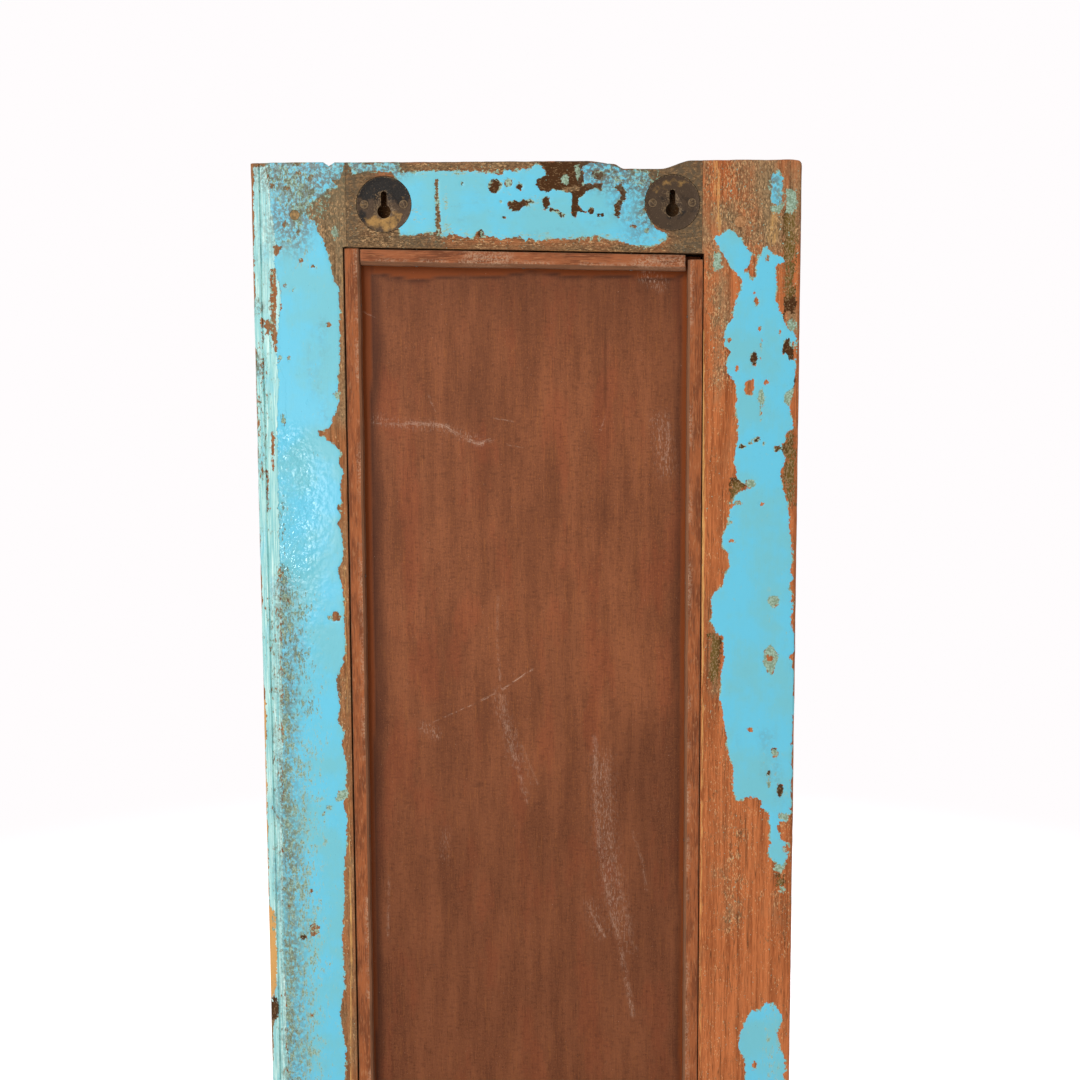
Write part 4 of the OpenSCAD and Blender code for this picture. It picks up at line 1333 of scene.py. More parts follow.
@dataclass(frozen=True)
class SawnPeg:
    """Hardwood peg, split and sawn off flush: worn end grain, tan with rings of pores."""

    name: str = "sawn_peg_end_grain"
    light: str = "#A58254"
    dark: str = "#75603F"
    pore: str = "#4A3826"

    def make(self) -> Finish:
        """Builds the material.

        Returns:
            The material.
        """
        g = Graph(bpy.data.materials.new(self.name))
        colour = g.lay(self.dark, self.light, g.patches(2.4, detail=4.0), 0.35, 0.65)
        colour = g.lay(colour, self.pore, g.patches(0.5, shift=(9, 9, 9), detail=2.0), 0.6, 0.68, 0.6)
        return g.finish(colour, 0.7, 0.15, height=g.total(0.0, (g.patches(0.6), 0.12)))


@dataclass(frozen=True)
class StainedBoard:
    """Thin veneered board, rubbed with brown stain.

    The eye gets fine crossed fibres, slow upright flames and a low sheen.
    """

    name: str = "stained_veneer_board"
    middle: str = "#8C5232"
    shade: str = "#6C3C22"
    warm: str = "#A0602F"
    red: str = "#8E4528"
    edge: str = "#7C3B12"
    deep: str = "#42200E"
    scratch: str = "#CCAC94"

    def make(self) -> Finish:
        """Builds the material.

        Returns:
            The material.
        """
        g = Graph(bpy.data.materials.new(self.name))
        marks = {mark.value: g.add(Node.MARK, attribute_name=mark.value) for mark in BoardMark}
        flames = g.patches(12.0, (1, 1, 0.12), (5, 5, 5), 8.0, 0.65)
        cloud = g.patches(55.0, (1, 1, 0.5), detail=4.0)
        fine = g.patches(1.1, (1, 1, 0.7), (2, 2, 2), 3.0, 0.7)
        reds = g.patches(30.0, (1, 1, 0.3), (9, 9, 9), 6.0)
        hairs = g.patches(0.8, (1, 1, 0.04), (6, 6, 6))
        upright = g.patches(1.0, (1, 1, 0.1))
        weave = g.total(0.0, (upright, 0.45), (g.patches(1.8, (0.3, 1, 1), (4, 4, 4), 4.0), 0.55))
        tone = g.total(0.0, (flames, 0.45), (cloud, 0.3), (fine, 0.25))
        colour = g.lay(self.shade, self.middle, tone, 0.38, 0.62)
        for value, low, high, strength, over in (
            (reds, 0.5, 0.62, 0.32, self.red), (fine, 0.54, 0.7, 0.45, self.warm),
            (hairs, 0.58, 0.7, 0.35, self.warm), (hairs, 0.42, 0.3, 0.35, self.deep),
            (weave, 0.5, 0.38, 0.35, self.deep),
        ):
            colour = g.lay(colour, over, value, low, high, strength)
        # The first mark is painted shade beside and under the beads, with dark spots, a crack and a darker
        # bottom
        for mark, strength, over in (
            (BoardMark.DARK_BAND, 0.75, self.deep), (BoardMark.STAIN_EDGE, 0.95, self.edge),
            (BoardMark.WET_LINE, 1.0, self.deep),
        ):
            colour = g.add(Node.MIX, g.total(0.0, (marks[mark.value], strength)), colour, over)
        colour = g.add(Node.MIX, self.scratched(g, marks), colour, self.scratch)
        scuffed = g.add(Node.SHARE, g.patches(1.2, (1, 1, 0.3), (8, 8, 8), 4.0, 0.7), 0.5, 0.64, 0.0, 0.6)
        scuffed = g.add(Node.TIMES, scuffed, marks[BoardMark.SCUFF.value])
        colour = g.add(Node.MIX, scuffed, colour, self.scratch)
        colour = g.lay(colour, self.scratch, g.patches(0.95, shift=(77, 0, 12), detail=1.0), 0.76, 0.8, 0.7)
        return g.finish(colour, 0.55, 0.15, height=g.total(0.0, (weave, 0.09)))

    def scratched(self, g: Graph, marks: dict[str, Socket]) -> Socket:
        """Strength of the scratches, which run in strands along their lines and break off in places.

        Args:
            g: The material's graph.
            marks: The board's marks.

        Returns:
            The strength.
        """
        off, run, width, strength = (marks[mark.value] for mark in SCRATCH_MARKS)
        beside = g.add(Node.JOIN, off, g.total(0.0, (run, 0.12)), 0.0)
        strands = g.add(Node.SHARE, g.add(Node.NOISE, beside, 1 / 0.55, 4.0, 0.7), 0.44, 0.58)
        breaks = g.patches(4.0, shift=(3, 1, 4), detail=5.0, roughness=0.7)
        strands = g.add(Node.TIMES, strands, g.add(Node.SHARE, breaks, 0.4, 0.58, 0.0, 0.68))
        core = g.add(Node.SHARE, g.add(Node.SIZE, off), width, 0.0)
        return g.add(Node.TIMES, g.add(Node.TIMES, core, strength), strands)


@dataclass(frozen=True)
class StainedBead:
    """Softwood bead, sawn and stained brown: dull, rubbed pale on its arrises with a painted highlight beside
    the bevel, painted shade on its bevel, and darker along its wall side and its ends.
    """

    name: str
    grain: Grain
    face: str = "#9E5A32"
    shade: str = "#713D21"
    pale: str = "#B57E54"
    # Pale rubbed wood, also a painted highlight along the arris beside the bevel
    rub_and_highlight: str = "#BC9A7C"
    # Dark grey-brown of dry patches, also painted on the bevel as shade and along the wall side and the ends
    bevel: str = "#7A573F"

    def make(self) -> Finish:
        """Builds the material.

        Returns:
            The material.
        """
        g = Graph(bpy.data.materials.new(self.name))
        drawn = self.grain.drawn
        marks = {name: g.add(Node.MARK, attribute_name=name) for name in ("bevelled", "rubbed")}
        fibres = g.patches(0.9, drawn(1.0), detail=4.0)
        tone = g.total(0.0, (fibres, 0.5), (g.patches(9.0, drawn(0.5), (4, 4, 4), 4.0), 0.5))
        dry = g.patches(1.4, drawn(0.6), (9, 1, 2), 4.0, 0.65)
        edge = g.total(-0.75, (dry, 1.5), (marks["bevelled"], 1.0))
        colour = g.lay(self.shade, self.face, tone, 0.4, 0.58)
        colour = g.lay(colour, self.pale, dry, 0.54, 0.68, 0.5)
        colour = g.lay(colour, self.bevel, dry, 0.42, 0.3, 0.7)
        # Painted shade on the bevel, and darker along the wall side and the ends
        colour = g.lay(colour, self.bevel, edge, 0.2, 0.8, 0.75)
        # Rubbed pale, with a painted highlight along the arris beside the bevel
        rubbed = g.add(Node.SHARE, g.patches(1.6, detail=5.0, roughness=0.7), 0.44, 0.58, 0.0, 0.75)
        colour = g.add(Node.MIX, g.add(Node.TIMES, marks["rubbed"], rubbed), colour, self.rub_and_highlight)
        return g.finish(colour, 0.62, 0.15, height=g.total(0.0, (fibres, 0.2), (dry, 0.15)))


@dataclass(frozen=True)
class OldBrass:
    """Stamped sheet brass with decades of brown patina: near black on top, brighter where it was rubbed."""

    name: str = "stamped_brass_patina"
    bright: str = "#8E6C3C"
    brown: str = "#413224"
    black: str = "#1B1815"
    crust: str = "#7A6346"

    def make(self) -> Finish:
        """Builds the material.

        Returns:
            The material.
        """
        g = Graph(bpy.data.materials.new(self.name))
        marks = {name: g.add(Node.MARK, attribute_name=name) for name in ("shine", "soot", "worn_rim")}
        cloud = g.patches(6.0, detail=6.0, roughness=0.65)
        colour = g.lay(self.brown, self.black, g.total(-1.3, (cloud, 2.6), (marks["soot"], 1.0)), 0.25, 0.75)
        colour = g.lay(colour, self.bright, g.total(-1.1, (cloud, 2.2), (marks["shine"], 1.0)), 0.25, 0.8)
        crust = g.total(0.0, (g.patches(1.2, detail=5.0, roughness=0.7), 1.0), (marks["worn_rim"], 0.17))
        crust = g.add(Node.SHARE, crust, 0.6, 0.68)
        colour = g.add(Node.MIX, g.total(0.0, (crust, 0.7)), colour, self.crust)
        roughness = g.total(0.34, (g.patches(2.0), 0.34))
        height = g.total(0.0, (g.patches(1.4, detail=5.0, roughness=0.65), 0.22))
        return g.finish(colour, roughness, 0.25, g.total(0.5, (crust, -0.4)), height)


@dataclass(frozen=True)
class SilveredGlass:
    """Float glass, silvered on its back: a clean mirror with a faint grey-green cast and soft old haze.

    Behind the silver the eye gets dull brown backing paint.
    """

    name: str = "silvered_float_glass"
    silver: str = "#E4EAE8"
    haze: str = "#C6CEC9"
    backing: str = "#4A3228"
    # Thickness of the clear glass in millimetres, and over what depth the silver ends
    clear: float = 3.4
    silver_end: float = 0.4

    def make(self) -> Finish:
        """Builds the material.

        Returns:
            The material.
        """
        g = Graph(bpy.data.materials.new(self.name))
        clouds = g.add(Node.SHARE, g.patches(90.0, detail=4.0), 0.5, 0.75)
        silvered = LINES.glass_y + self.clear
        depth = g.add(Node.DEPTH, g.add(Node.PLACES))
        behind = g.add(Node.SHARE, depth, silvered * MM, (silvered + self.silver_end) * MM)
        colour = g.add(Node.MIX, behind, g.add(Node.MIX, clouds, self.silver, self.haze), self.backing)
        roughness = g.add(Node.HIGHER, g.total(0.02, (clouds, 0.05)), g.total(0.0, (behind, 0.7)))
        return g.finish(colour, roughness, metallic=g.total(1.0, (behind, -1.0)))


@dataclass(frozen=True)
class DrawnPin:
    """Drawn steel pin, gone dull and brown with rust spots."""

    name: str = "drawn_steel_pin"
    steel: str = "#7A756E"
    rust: str = "#5C3A22"

    def make(self) -> Finish:
        """Builds the material.

        Returns:
            The material.
        """
        g = Graph(bpy.data.materials.new(self.name))
        rust = g.add(Node.SHARE, g.patches(0.8), 0.42, 0.6)
        colour = g.add(Node.MIX, rust, self.steel, self.rust)
        return g.finish(colour, 0.5, metallic=g.total(0.9, (rust, -0.7)))


def mm_box(node: str) -> tuple[Array, Array]:
    """Lowest and highest corner of a solid, in millimetres."""
    low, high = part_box(node)
    return np.array(low) / MM, np.array(high) / MM


def round_box(node: str) -> tuple[float, float, float, Point]:
    """Middle along X and Z, radius, and front and back of a round solid, in millimetres."""
    low, high = mm_box(node)
    return (low[0] + high[0]) / 2, (low[2] + high[2]) / 2, (high[0] - low[0]) / 2, (low[1], high[1])


@dataclass(frozen=True)
class FrameLines:
    """Lines that all the frame members share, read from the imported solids."""

    edge_x: float = float(mm_box("meeting_stile")[1][0])
    z_top: float = float(mm_box("hanging_stile")[1][2])
    z_bottom: float = float(mm_box("meeting_stile")[0][2])
    front_y: float = float(mm_box("meeting_stile")[0][1])
    glass_y: float = float(mm_box("mirror_glass")[0][1])
    sight_meeting: float = float(mm_box("meeting_stile")[0][0])
    sight_hanging: float = float(mm_box("hanging_stile")[1][0])
    sight_top: float = float(mm_box("top_rail")[0][2])
    sight_bottom: float = float(mm_box("bottom_rail")[1][2])
    lip_w: float = 9.0
    rail_taper: float = 6.5
    meeting_overcut: float = 3.0
    hanging_overcut: float = 1.5
    joint_gap: float = 0.2
    # Middle of the tenons' depth, their height and how far in from the frame's ends they lie
    mid_y: float = -18.0
    tenon_h: float = 46.0
    tenon_inset: float = 12.0
    # How far the bare surface lies below the solid's back, which leaves room for the paint
    skin: float = 0.35

    @property
    def meeting_x(self) -> float:
        """Joint line of the meeting stile."""
        return self.sight_meeting + self.lip_w

    @property
    def hanging_x(self) -> float:
        """Joint line of the hanging stile."""
        return self.sight_hanging - self.lip_w

    @property
    def top_front(self) -> float:
        """Lower edge of the top rail in front of the rebate."""
        return self.sight_top + self.lip_w

    @property
    def low_wall(self) -> float:
        """Upper edge of the bottom rail."""
        return self.sight_bottom - self.lip_w

    @property
    def tenons(self) -> Point:
        """Lower edges of the top rail's and the bottom rail's tenons."""
        return self.z_top - self.tenon_inset - self.tenon_h, self.z_bottom + self.tenon_inset

    def rail_edge(self, x: Array | float) -> Array | float:
        """Height of the top rail's lower edge in the rebate, which slopes."""
        share = (x - self.hanging_x) / (self.meeting_x - self.hanging_x)
        return self.top_front + self.rail_taper * share


LINES = FrameLines()
# How far a cutter stands out of the back, and the depths that a drill through the frame passes
PROUD = 2.0
THROUGH = (-38.0, PROUD)


@dataclass
class Member:
    """A frame member: a board with a rebate in its back and a quarter round along its front lip."""

    node: str
    paint: PaintMap
    finish: Finish
    pitch: float = 1.5
    quarter_r: float = 7.0
    quarter_step: float = 1.2
    # Angles in degrees at which the quarter round has an edge
    quarter_turns: tuple[float, ...] = (0, 20, 40, 60, 78, 90)
    # Rows down the board's sides. The first follows the worn arris and keeps a least drop below it.
    rows: tuple[float, ...] = (-1.6, -7.0, -15.0)
    row_drop: float = 0.8
    # Depth above which a point counts as the worn back, and where the photograph's paint ends
    worn_depth: float = -6.4
    paint_end: Point = (-6.9, -6.2)
    # Heights of the paint's film, of the older coat's, and of dry wood's ridges on the back and on the front,
    # and how far the front lies in from the solid's
    film: float = 0.24
    old_film: float = 0.096
    dry_ridge: float = 0.35
    front_ridge: float = 0.3
    front_skin: float = 0.25
    arris_r: float = 1.2
    tenon_t: float = 11.0
    # Size of the wood's ridges along X, Y and Z, drawn out along the grain
    ridges: Spot = (3.0, 3.0, 40.0)
    seed: int = 1

    def depths(self) -> list[float]:
        """Depths of the rows down the sides, from the back to the front."""
        turn = [self.quarter_start - self.quarter_r * math.sin(math.radians(a)) for a in self.quarter_turns]
        return [*self.rows, LINES.glass_y + 0.05, LINES.glass_y, *turn, LINES.front_y]

    @property
    def quarter_start(self) -> float:
        """Depth at which the quarter round starts."""
        return LINES.front_y + self.quarter_step + self.quarter_r

    def blank(self, x: Point, z: Point, columns: Sequence[float], levels: Sequence[float]) -> Piece:
        """Makes the plain board, with grid lines where its features need them.

        Args:
            x: Its sides.
            z: Its ends.
            columns: Places along X that need a line.
            levels: Places along Z that need a line.

        Returns:
            The board, closed on all sides.
        """
        board = plate_grid(f"{self.node}_painted", x, z, 0.0, self.pitch)
        places = corners_of(board)
        places[:, 0] = on_lines(places[:, 0], columns)
        places[:, 2] = on_lines(places[:, 2], levels)
        move_corners(board, places)
        thicken(board, self.depths())
        return board

    def add_lip(self, board: Piece, across: int, inner: float, way: int, ends: Point) -> None:
        """Extrudes the lip from the inner side, with mitred ends and its quarter round.

        Args:
            board: The blank.
            across: Axis that points into the opening.
            inner: Where the board's inner side lies.
            way: Sign of the way into the opening.
            ends: Where the lip starts and ends along the board.
        """
        along = 2 - across
        low, high = ends
        edit_faces(
            board,
            lambda middle, normal: (np.abs(middle[:, across] - inner) < NEAR) & (middle[:, 1] < LINES.glass_y)
            & (middle[:, along] > low) & (middle[:, along] < high),
        )
        step = [0.0, 0.0, 0.0]
        step[across] = way * LINES.lip_w
        extrude_by(*step)
        leave_edit()
        places = corners_of(board)
        lip = np.abs(places[:, across] - inner - step[across]) < NEAR
        drop = np.clip((self.quarter_start - places[lip, 1]) / self.quarter_r, 0, 1)
        out = LINES.lip_w - self.quarter_r * (1 - np.sqrt(1 - drop * drop))
        middle, half = (low + high) / 2, (high - low) / 2
        places[lip, across] = inner + way * out
        places[lip, along] = middle + (places[lip, along] - middle) * (half - out) / half
        move_corners(board, places)

    def wear_faces(self, y: Array, drop: Array, from_edge: Array) -> Array:
        """Lowers the back by its wear, with the row below it, and rounds the front's arrises.

        Args:
            y: Depths of the board's points.
            drop: How far the back is worn down at each point.
            from_edge: Distance from each point to the nearest outer arris.

        Returns:
            The new depths.
        """
        row, back, front = np.abs(y - self.rows[0]) < NEAR, y > -NEAR, y < LINES.front_y + NEAR
        y = np.where(row, np.minimum(y, -drop - self.row_drop), y)
        y = np.where(back, y - drop, y)
        return np.where(front, y + rounding(from_edge, self.arris_r), y)

    def lay_paint(self, board: Piece) -> None:
        """Raises the worn back by its film of paint, and roughens the bare wood.

        Args:
            board: The worn board.
        """
        places = corners_of(board)
        back = places[:, 1] > self.worn_depth
        found = self.paint.fields(places[back])
        painted = rise(found[Coat.TOP.value], -0.5, 0.7)
        old = rise(found[Coat.OLD.value], -0.5, 0.7) * (1 - painted)
        dry = rough(places[back] * (1, 0, 1), self.ridges, self.seed, 3) - 0.5
        relief = self.film * painted + self.old_film * old + self.dry_ridge * dry * (1 - painted)
        places[back, 1] += np.minimum(relief - LINES.skin, -0.02)
        front = places[:, 1] < LINES.front_y + 0.5
        dry = rough(places[front] * (1, 0, 1), self.ridges, self.seed + 9, 3) - 0.5
        places[front, 1] += self.front_skin + self.front_ridge * dry
        move_corners(board, places)

    def map_coats(self, board: Piece) -> None:
        """Writes the coats and stains of the whole board as attributes.

        The back has them from the photograph. The front and the sides, which don't show there, have random
        patches with bare arrises, and only primer lies in the rebate and the pockets.

        Args:
            board: The finished board.
        """
        places = corners_of(board)
        back = self.paint.fields(places)
        share = rise(places[:, 1], *self.paint_end)
        wander = rough(places, (46, 30, 90), self.seed + 20)
        fine = rough(places, 14, self.seed + 30)
        edge = self.near_edge(places)
        other = {
            Coat.TOP: 34 * (wander - 0.44) + 16 * (fine - 0.5) - 5 * edge,
            Coat.OLD: 30 * (wander - 0.36) + 18 * (fine - 0.5) - 5 * edge,
            Coat.UNDERCOAT: 26 * (fine - 0.62),
            Coat.PRIMER: 26 * (rough(places, 24, self.seed + 40) - 0.56),
            Stain.SPECKLE: 0.35 * rise(fine, 0.45, 0.65),
            Stain.TAN: 0.25 + 0.6 * rise(wander, 0.4, 0.6),
            Stain.GRIME: 0.5 * rise(wander, 0.5, 0.62),
            Stain.OLIVE: 0.6 * rise(fine, 0.45, 0.6),
            Stain.FLECK: 0.4,
            Stain.OCHRE: 0.0,
            Stain.DABS: 0.0,
        }
        unpainted = self.in_hollow(places) | self.in_rebate(places)
        rim = rise(1.5 + 7 * (fine - 0.5) - self.from_side(places), 0, 1.6)
        for kind, values in other.items():
            mixed = share * back[kind.value] + (1 - share) * values
            if kind in (Coat.TOP, Coat.OLD):
                mixed = np.minimum(mixed, 2.0 - 4.5 * rim)
            if isinstance(kind, Coat):
                mixed = np.where(unpainted, 8.0 if kind is Coat.PRIMER else -20.0, mixed)
            write_map(board, kind.value, mixed)

    def from_side(self, places: Array) -> Array:
        """Distance from each point to the nearest outer side of the frame."""
        side = np.minimum(LINES.edge_x - np.abs(places[:, 0]), LINES.z_top - places[:, 2])
        return np.clip(np.minimum(side, places[:, 2] - LINES.z_bottom), 0, None)

    def near_edge(self, places: Array) -> Array:
        """Share from 0 to 1 for how near each point lies to a worn arris of the front or the sides."""
        depth = np.minimum(np.abs(places[:, 1]), np.abs(places[:, 1] - LINES.front_y))
        return rise(3.5 - np.hypot(depth, self.from_side(places)), 0, 3.5)

    def in_rebate(self, places: Array) -> Array:
        """Finds the points on the rebate's walls, below their worn arris.

        Args:
            places: The points' places in millimetres.

        Returns:
            Which of them lie there.
        """
        x, y, z = places.T
        wide = x < LINES.meeting_x + LINES.meeting_overcut + 0.3
        wide &= x > LINES.hanging_x - LINES.hanging_overcut - 0.3
        tall = (z > LINES.low_wall - 0.6) & (z < LINES.rail_edge(x) + 0.6)
        return wide & tall & (y < -1.4) & (y > LINES.glass_y - 0.1)

    def in_hollow(self, places: Array) -> Array:
        """Which points lie in a hollow where no paint ever was."""
        return np.zeros(len(places), bool)


@dataclass
class Stile(Member):
    """Upright member with mortises for both rails."""

    side: Side = Side.MEETING
    back_r: float = 3.5
    # The stepped outer strip, with the groove along it, and the notch in its top end
    strip_w: float = 0.0
    strip_fall: float = 0.0
    groove_inset: float = 7.6
    groove_w: float = 1.6
    groove_depth: float = 1.2
    notch_x: float = 156.5
    notch_w: float = 9.0
    notch_h: float = 12.0
    notch_depth: float = 0.0
    # Radius of the rounded upper outer corner, and how far down it reaches
    corner_r: float = 0.0
    corner_h: float = 16.0
    peg_x: float = 184.5
    peg_drop: float = 41.5
    peg_d: float = 8.0
    peg_gap: float = 0.05
    mortise_gap: float = 0.2
    # How far in the rebate's overcut fades out, and how deep the back can be worn
    fade: float = 12.0
    deepest: float = 6.0

    def make(self) -> None:
        """Builds the stile and puts it in place of its solid."""
        s = self.side.value
        meeting = self.side is Side.MEETING
        joint = LINES.meeting_x if meeting else LINES.hanging_x
        over = LINES.meeting_overcut if meeting else LINES.hanging_overcut
        outer = s * LINES.edge_x
        wall_top = LINES.rail_edge(joint + s * over)
        columns = [outer - s * d for d in (0.5, 1.4, 2.6, self.back_r)] + [joint + s * d for d in (0.4, 1.2)]
        if self.strip_w:
            for middle, width in ((outer - self.groove_inset, self.groove_w), (self.notch_x, self.notch_w)):
                columns += [middle - width / 2, middle, middle + width / 2]
            columns.append(outer - self.strip_w)
        levels = [LINES.z_top - 0.5, LINES.z_top - 1.3, LINES.z_bottom + 0.5, LINES.z_bottom + 1.3]
        levels += [LINES.low_wall - 0.3, LINES.low_wall, LINES.top_front, wall_top, wall_top + 0.3]
        board = self.blank(tuple(sorted((joint, outer))), (LINES.z_bottom, LINES.z_top), columns, levels)
        self.add_lip(board, 0, joint, -s, (LINES.low_wall, LINES.top_front))
        self.shape(board, joint, outer, over, wall_top)
        self.lay_paint(board)
        half = self.tenon_t / 2 + self.mortise_gap
        for z in LINES.tenons:
            low = (min(joint - s, outer + s), LINES.mid_y - half, z - self.mortise_gap)
            high = (max(joint - s, outer + s), LINES.mid_y + half, z + LINES.tenon_h + self.mortise_gap)
            combine(board, block("mortise", low, high))
        for z in (LINES.z_top - self.peg_drop, LINES.z_bottom + self.peg_drop):
            combine(board, bar_y("peg_hole", self.peg_x, z, self.peg_d / 2 + self.peg_gap, THROUGH))
        self.map_coats(board)
        hand_over(board, self.node, self.finish)

    def shape(self, board: Piece, joint: float, outer: float, over: float, wall_top: float) -> None:
        """Cuts the rebate's wall, wears the arrises and bends the surface as the solid has it.

        Args:
            board: The blank with its lip.
            joint: Where its inner side lies.
            outer: Where its outer side lies.
            over: How far the rebate is cut into it.
            wall_top: Where the rebate ends at the top.
        """
        s, seed = self.side.value, self.seed
        places = corners_of(board)
        x, y, z = places.T.copy()
        inward = s * (x - joint)
        behind = (y > LINES.glass_y + 0.02) & (z > LINES.low_wall - NEAR) & (z < wall_top + NEAR)
        cut = behind & (inward > -NEAR) & (inward < self.fade)
        x = x + s * np.where(cut, over * (1 - inward / self.fade), 0)
        from_outer = np.abs(outer - x)
        from_inner = s * (x - joint) - np.where(behind, over, 0.0)
        ends = np.minimum(LINES.z_top - z, z - LINES.z_bottom)
        worn = 0.5 + 1.2 * patchy(places * (0, 0, 1) + (7, 7, 0), 11, seed + 2)
        drop = rounding(from_outer, self.back_r) + rounding(from_inner, np.where(behind, 0.5 * worn, 0.15))
        drop += rounding(ends, self.arris_r * worn)
        if self.strip_w:
            run = self.strip_w - self.back_r
            drop += self.strip_fall * np.clip((self.strip_w - from_outer) / run, 0, 1)
            off = np.abs(from_outer - self.groove_inset) / (self.groove_w / 2)
            drop += self.groove_depth * np.clip(1 - off, 0, 1)
        y = self.wear_faces(y, np.minimum(drop, self.deepest), np.minimum(from_outer, ends))
        ripple = 0.25 * patchy(places * (0, 0.3, 1), 37, seed + 3)
        ripple += 0.2 * patchy(places * (0, 1, 1), 9, seed + 4)
        x = x - s * ripple * rise(8 - from_outer, 0, 8)
        if self.notch_depth:
            dip = self.notch_depth * np.clip(1 - np.abs(x - self.notch_x) / (self.notch_w / 2), 0, 1)
            z = z - dip * rise(z, LINES.z_top - self.notch_h, LINES.z_top)
        if self.corner_r:
            dip = rounding(from_outer, self.corner_r)
            z = z - dip * np.clip((z - LINES.z_top + self.corner_h) / self.corner_h, 0, 1)
        z = z - 0.45 * patchy(places * (1, 0.4, 0), 8, seed + 5) * rise(z, LINES.z_top - 5, LINES.z_top)
        move_corners(board, np.column_stack((x, y, z)))


@dataclass
class Rail(Member):
    """Level member between the stiles, with a tenon at each end."""

    upper: bool = True
    # The hollow worn into the top edge: its depth, the end that it starts from and its length
    hollow_depth: float = 0.0
    hollow_from: float = -132.0
    hollow_len: float = 82.0
    # Middles of the hanger plates, their seats, the pockets behind them and the screws' holes
    hangers: tuple[float, ...] = ()
    plate_z: float = -8.0
    seat_r: float = 22.2
    seat_y: float = -2.3
    pocket_r: float = 9.0
    pocket_y: float = -12.0
    entry_z: float = -13.6
    screw_out: float = 15.7
    screw_hole_r: float = 1.55
    screw_depth: float = -13.0
    # How far the tenon ends short of the stile's outer side
    tenon_short: float = 0.5
    ridges: Spot = (40.0, 3.0, 3.0)

    def hollow(self, x: Array) -> Array:
        """Depth of the hollow worn into the top edge.

        Args:
            x: Places along the rail.

        Returns:
            Its depth at each place, which is 0 beside the hollow.
        """
        t = 1 - (x - self.hollow_from) / self.hollow_len
        worn = 0.4 * rise(t, 0, 0.28) + 0.6 * rise(t, 0.25, 0.35)
        return np.where((t > 0) & (t < 1), self.hollow_depth * worn * (1 - rise(t, 0.7, 1)), 0.0)

    def make(self) -> None:
        """Builds the rail and puts it in place of its solid."""
        x = (LINES.hanging_x + LINES.joint_gap, LINES.meeting_x - LINES.joint_gap)
        z = (LINES.top_front, LINES.z_top) if self.upper else (LINES.z_bottom, LINES.low_wall)
        inner, outer, s = (*z, -1) if self.upper else (z[1], z[0], 1)
        levels = [inner - s * d for d in (0.4, 1.2)] + [outer + s * d for d in (0.5, 1.4)]
        board = self.blank(x, z, [x[0] + 0.4, x[1] - 0.4], levels)
        self.add_lip(board, 2, inner, s, (LINES.hanging_x, LINES.meeting_x))
        self.shape(board, inner, outer, s)
        self.lay_paint(board)
        tenon_z = LINES.tenons[0 if self.upper else 1]
        end, half = LINES.edge_x - self.tenon_short, self.tenon_t / 2
        low, high = (-end, LINES.mid_y - half, tenon_z), (end, LINES.mid_y + half, tenon_z + LINES.tenon_h)
        combine(board, block("tenon", low, high), "UNION")
        for middle in self.hangers:
            self.seat(board, middle)
        self.map_coats(board)
        hand_over(board, self.node, self.finish)

    def shape(self, board: Piece, inner: float, outer: float, s: int) -> None:
        """Slopes the back's inner edge, hollows the top and wears the arrises.

        Args:
            board: The blank with its lip.
            inner: Where its inner side lies.
            outer: Where its outer side lies.
            s: Sign of the direction from the rail into the opening.
        """
        places = corners_of(board)
        x, y, z = places.T.copy()
        tall = abs(outer - inner)
        share = np.clip(s * (z - outer) / tall, 0, 1)
        if self.upper:
            z = z + np.where(y > LINES.glass_y + 0.02, share * (LINES.rail_edge(x) - inner), 0)
            z = z - self.hollow(x) * (1 - share)
        from_inner, from_outer = np.abs(share - 1) * tall, share * tall
        from_end = np.minimum(x - LINES.hanging_x, LINES.meeting_x - x)
        worn = 0.5 + 1.2 * patchy(places * (1, 0, 0) + (0, 7, 7), 12, self.seed + 2)
        drop = rounding(from_inner, 1.1 * worn) + rounding(from_outer, self.arris_r * worn * 1.4)
        y = self.wear_faces(y, drop + rounding(from_end, 0.15), from_outer)
        z = z + s * rise(5 - from_outer, 0, 5) * 0.6 * rough(places * (1, 0.4, 0), 14, self.seed + 5)
        move_corners(board, np.column_stack((x, y, z)))

    def seat(self, board: Piece, x: float) -> None:
        """Sinks the seat of a hanger plate, the pocket behind it and the screw holes.

        Args:
            board: The rail.
            x: The hanger's middle.
        """
        combine(board, bar_y("plate_seat", x, self.plate_z, self.seat_r, (self.seat_y, PROUD), 96))
        pocket = bar_y("pocket", x, self.entry_z, self.pocket_r, (self.pocket_y, PROUD), 64)
        places = corners_of(pocket)
        places[places[:, 2] > self.entry_z + NEAR, 2] -= self.entry_z
        move_corners(pocket, places)
        combine(board, pocket)
        for out in (-self.screw_out, self.screw_out):
            depths = (self.screw_depth, PROUD)
            combine(board, bar_y("screw_hole", x + out, self.plate_z, self.screw_hole_r, depths, 24))

    def in_hollow(self, places: Array) -> Array:
        """Finds the points in the pockets behind the hanger plates.

        Args:
            places: The points' places in millimetres.

        Returns:
            Which of them lie there.
        """
        found = np.zeros(len(places), bool)
        for x in self.hangers:
            found |= off_axis(places, x, self.plate_z) < self.seat_r + 0.1
        return found & (places[:, 1] < self.seat_y + 0.1) & (places[:, 1] > self.pocket_y - 2)


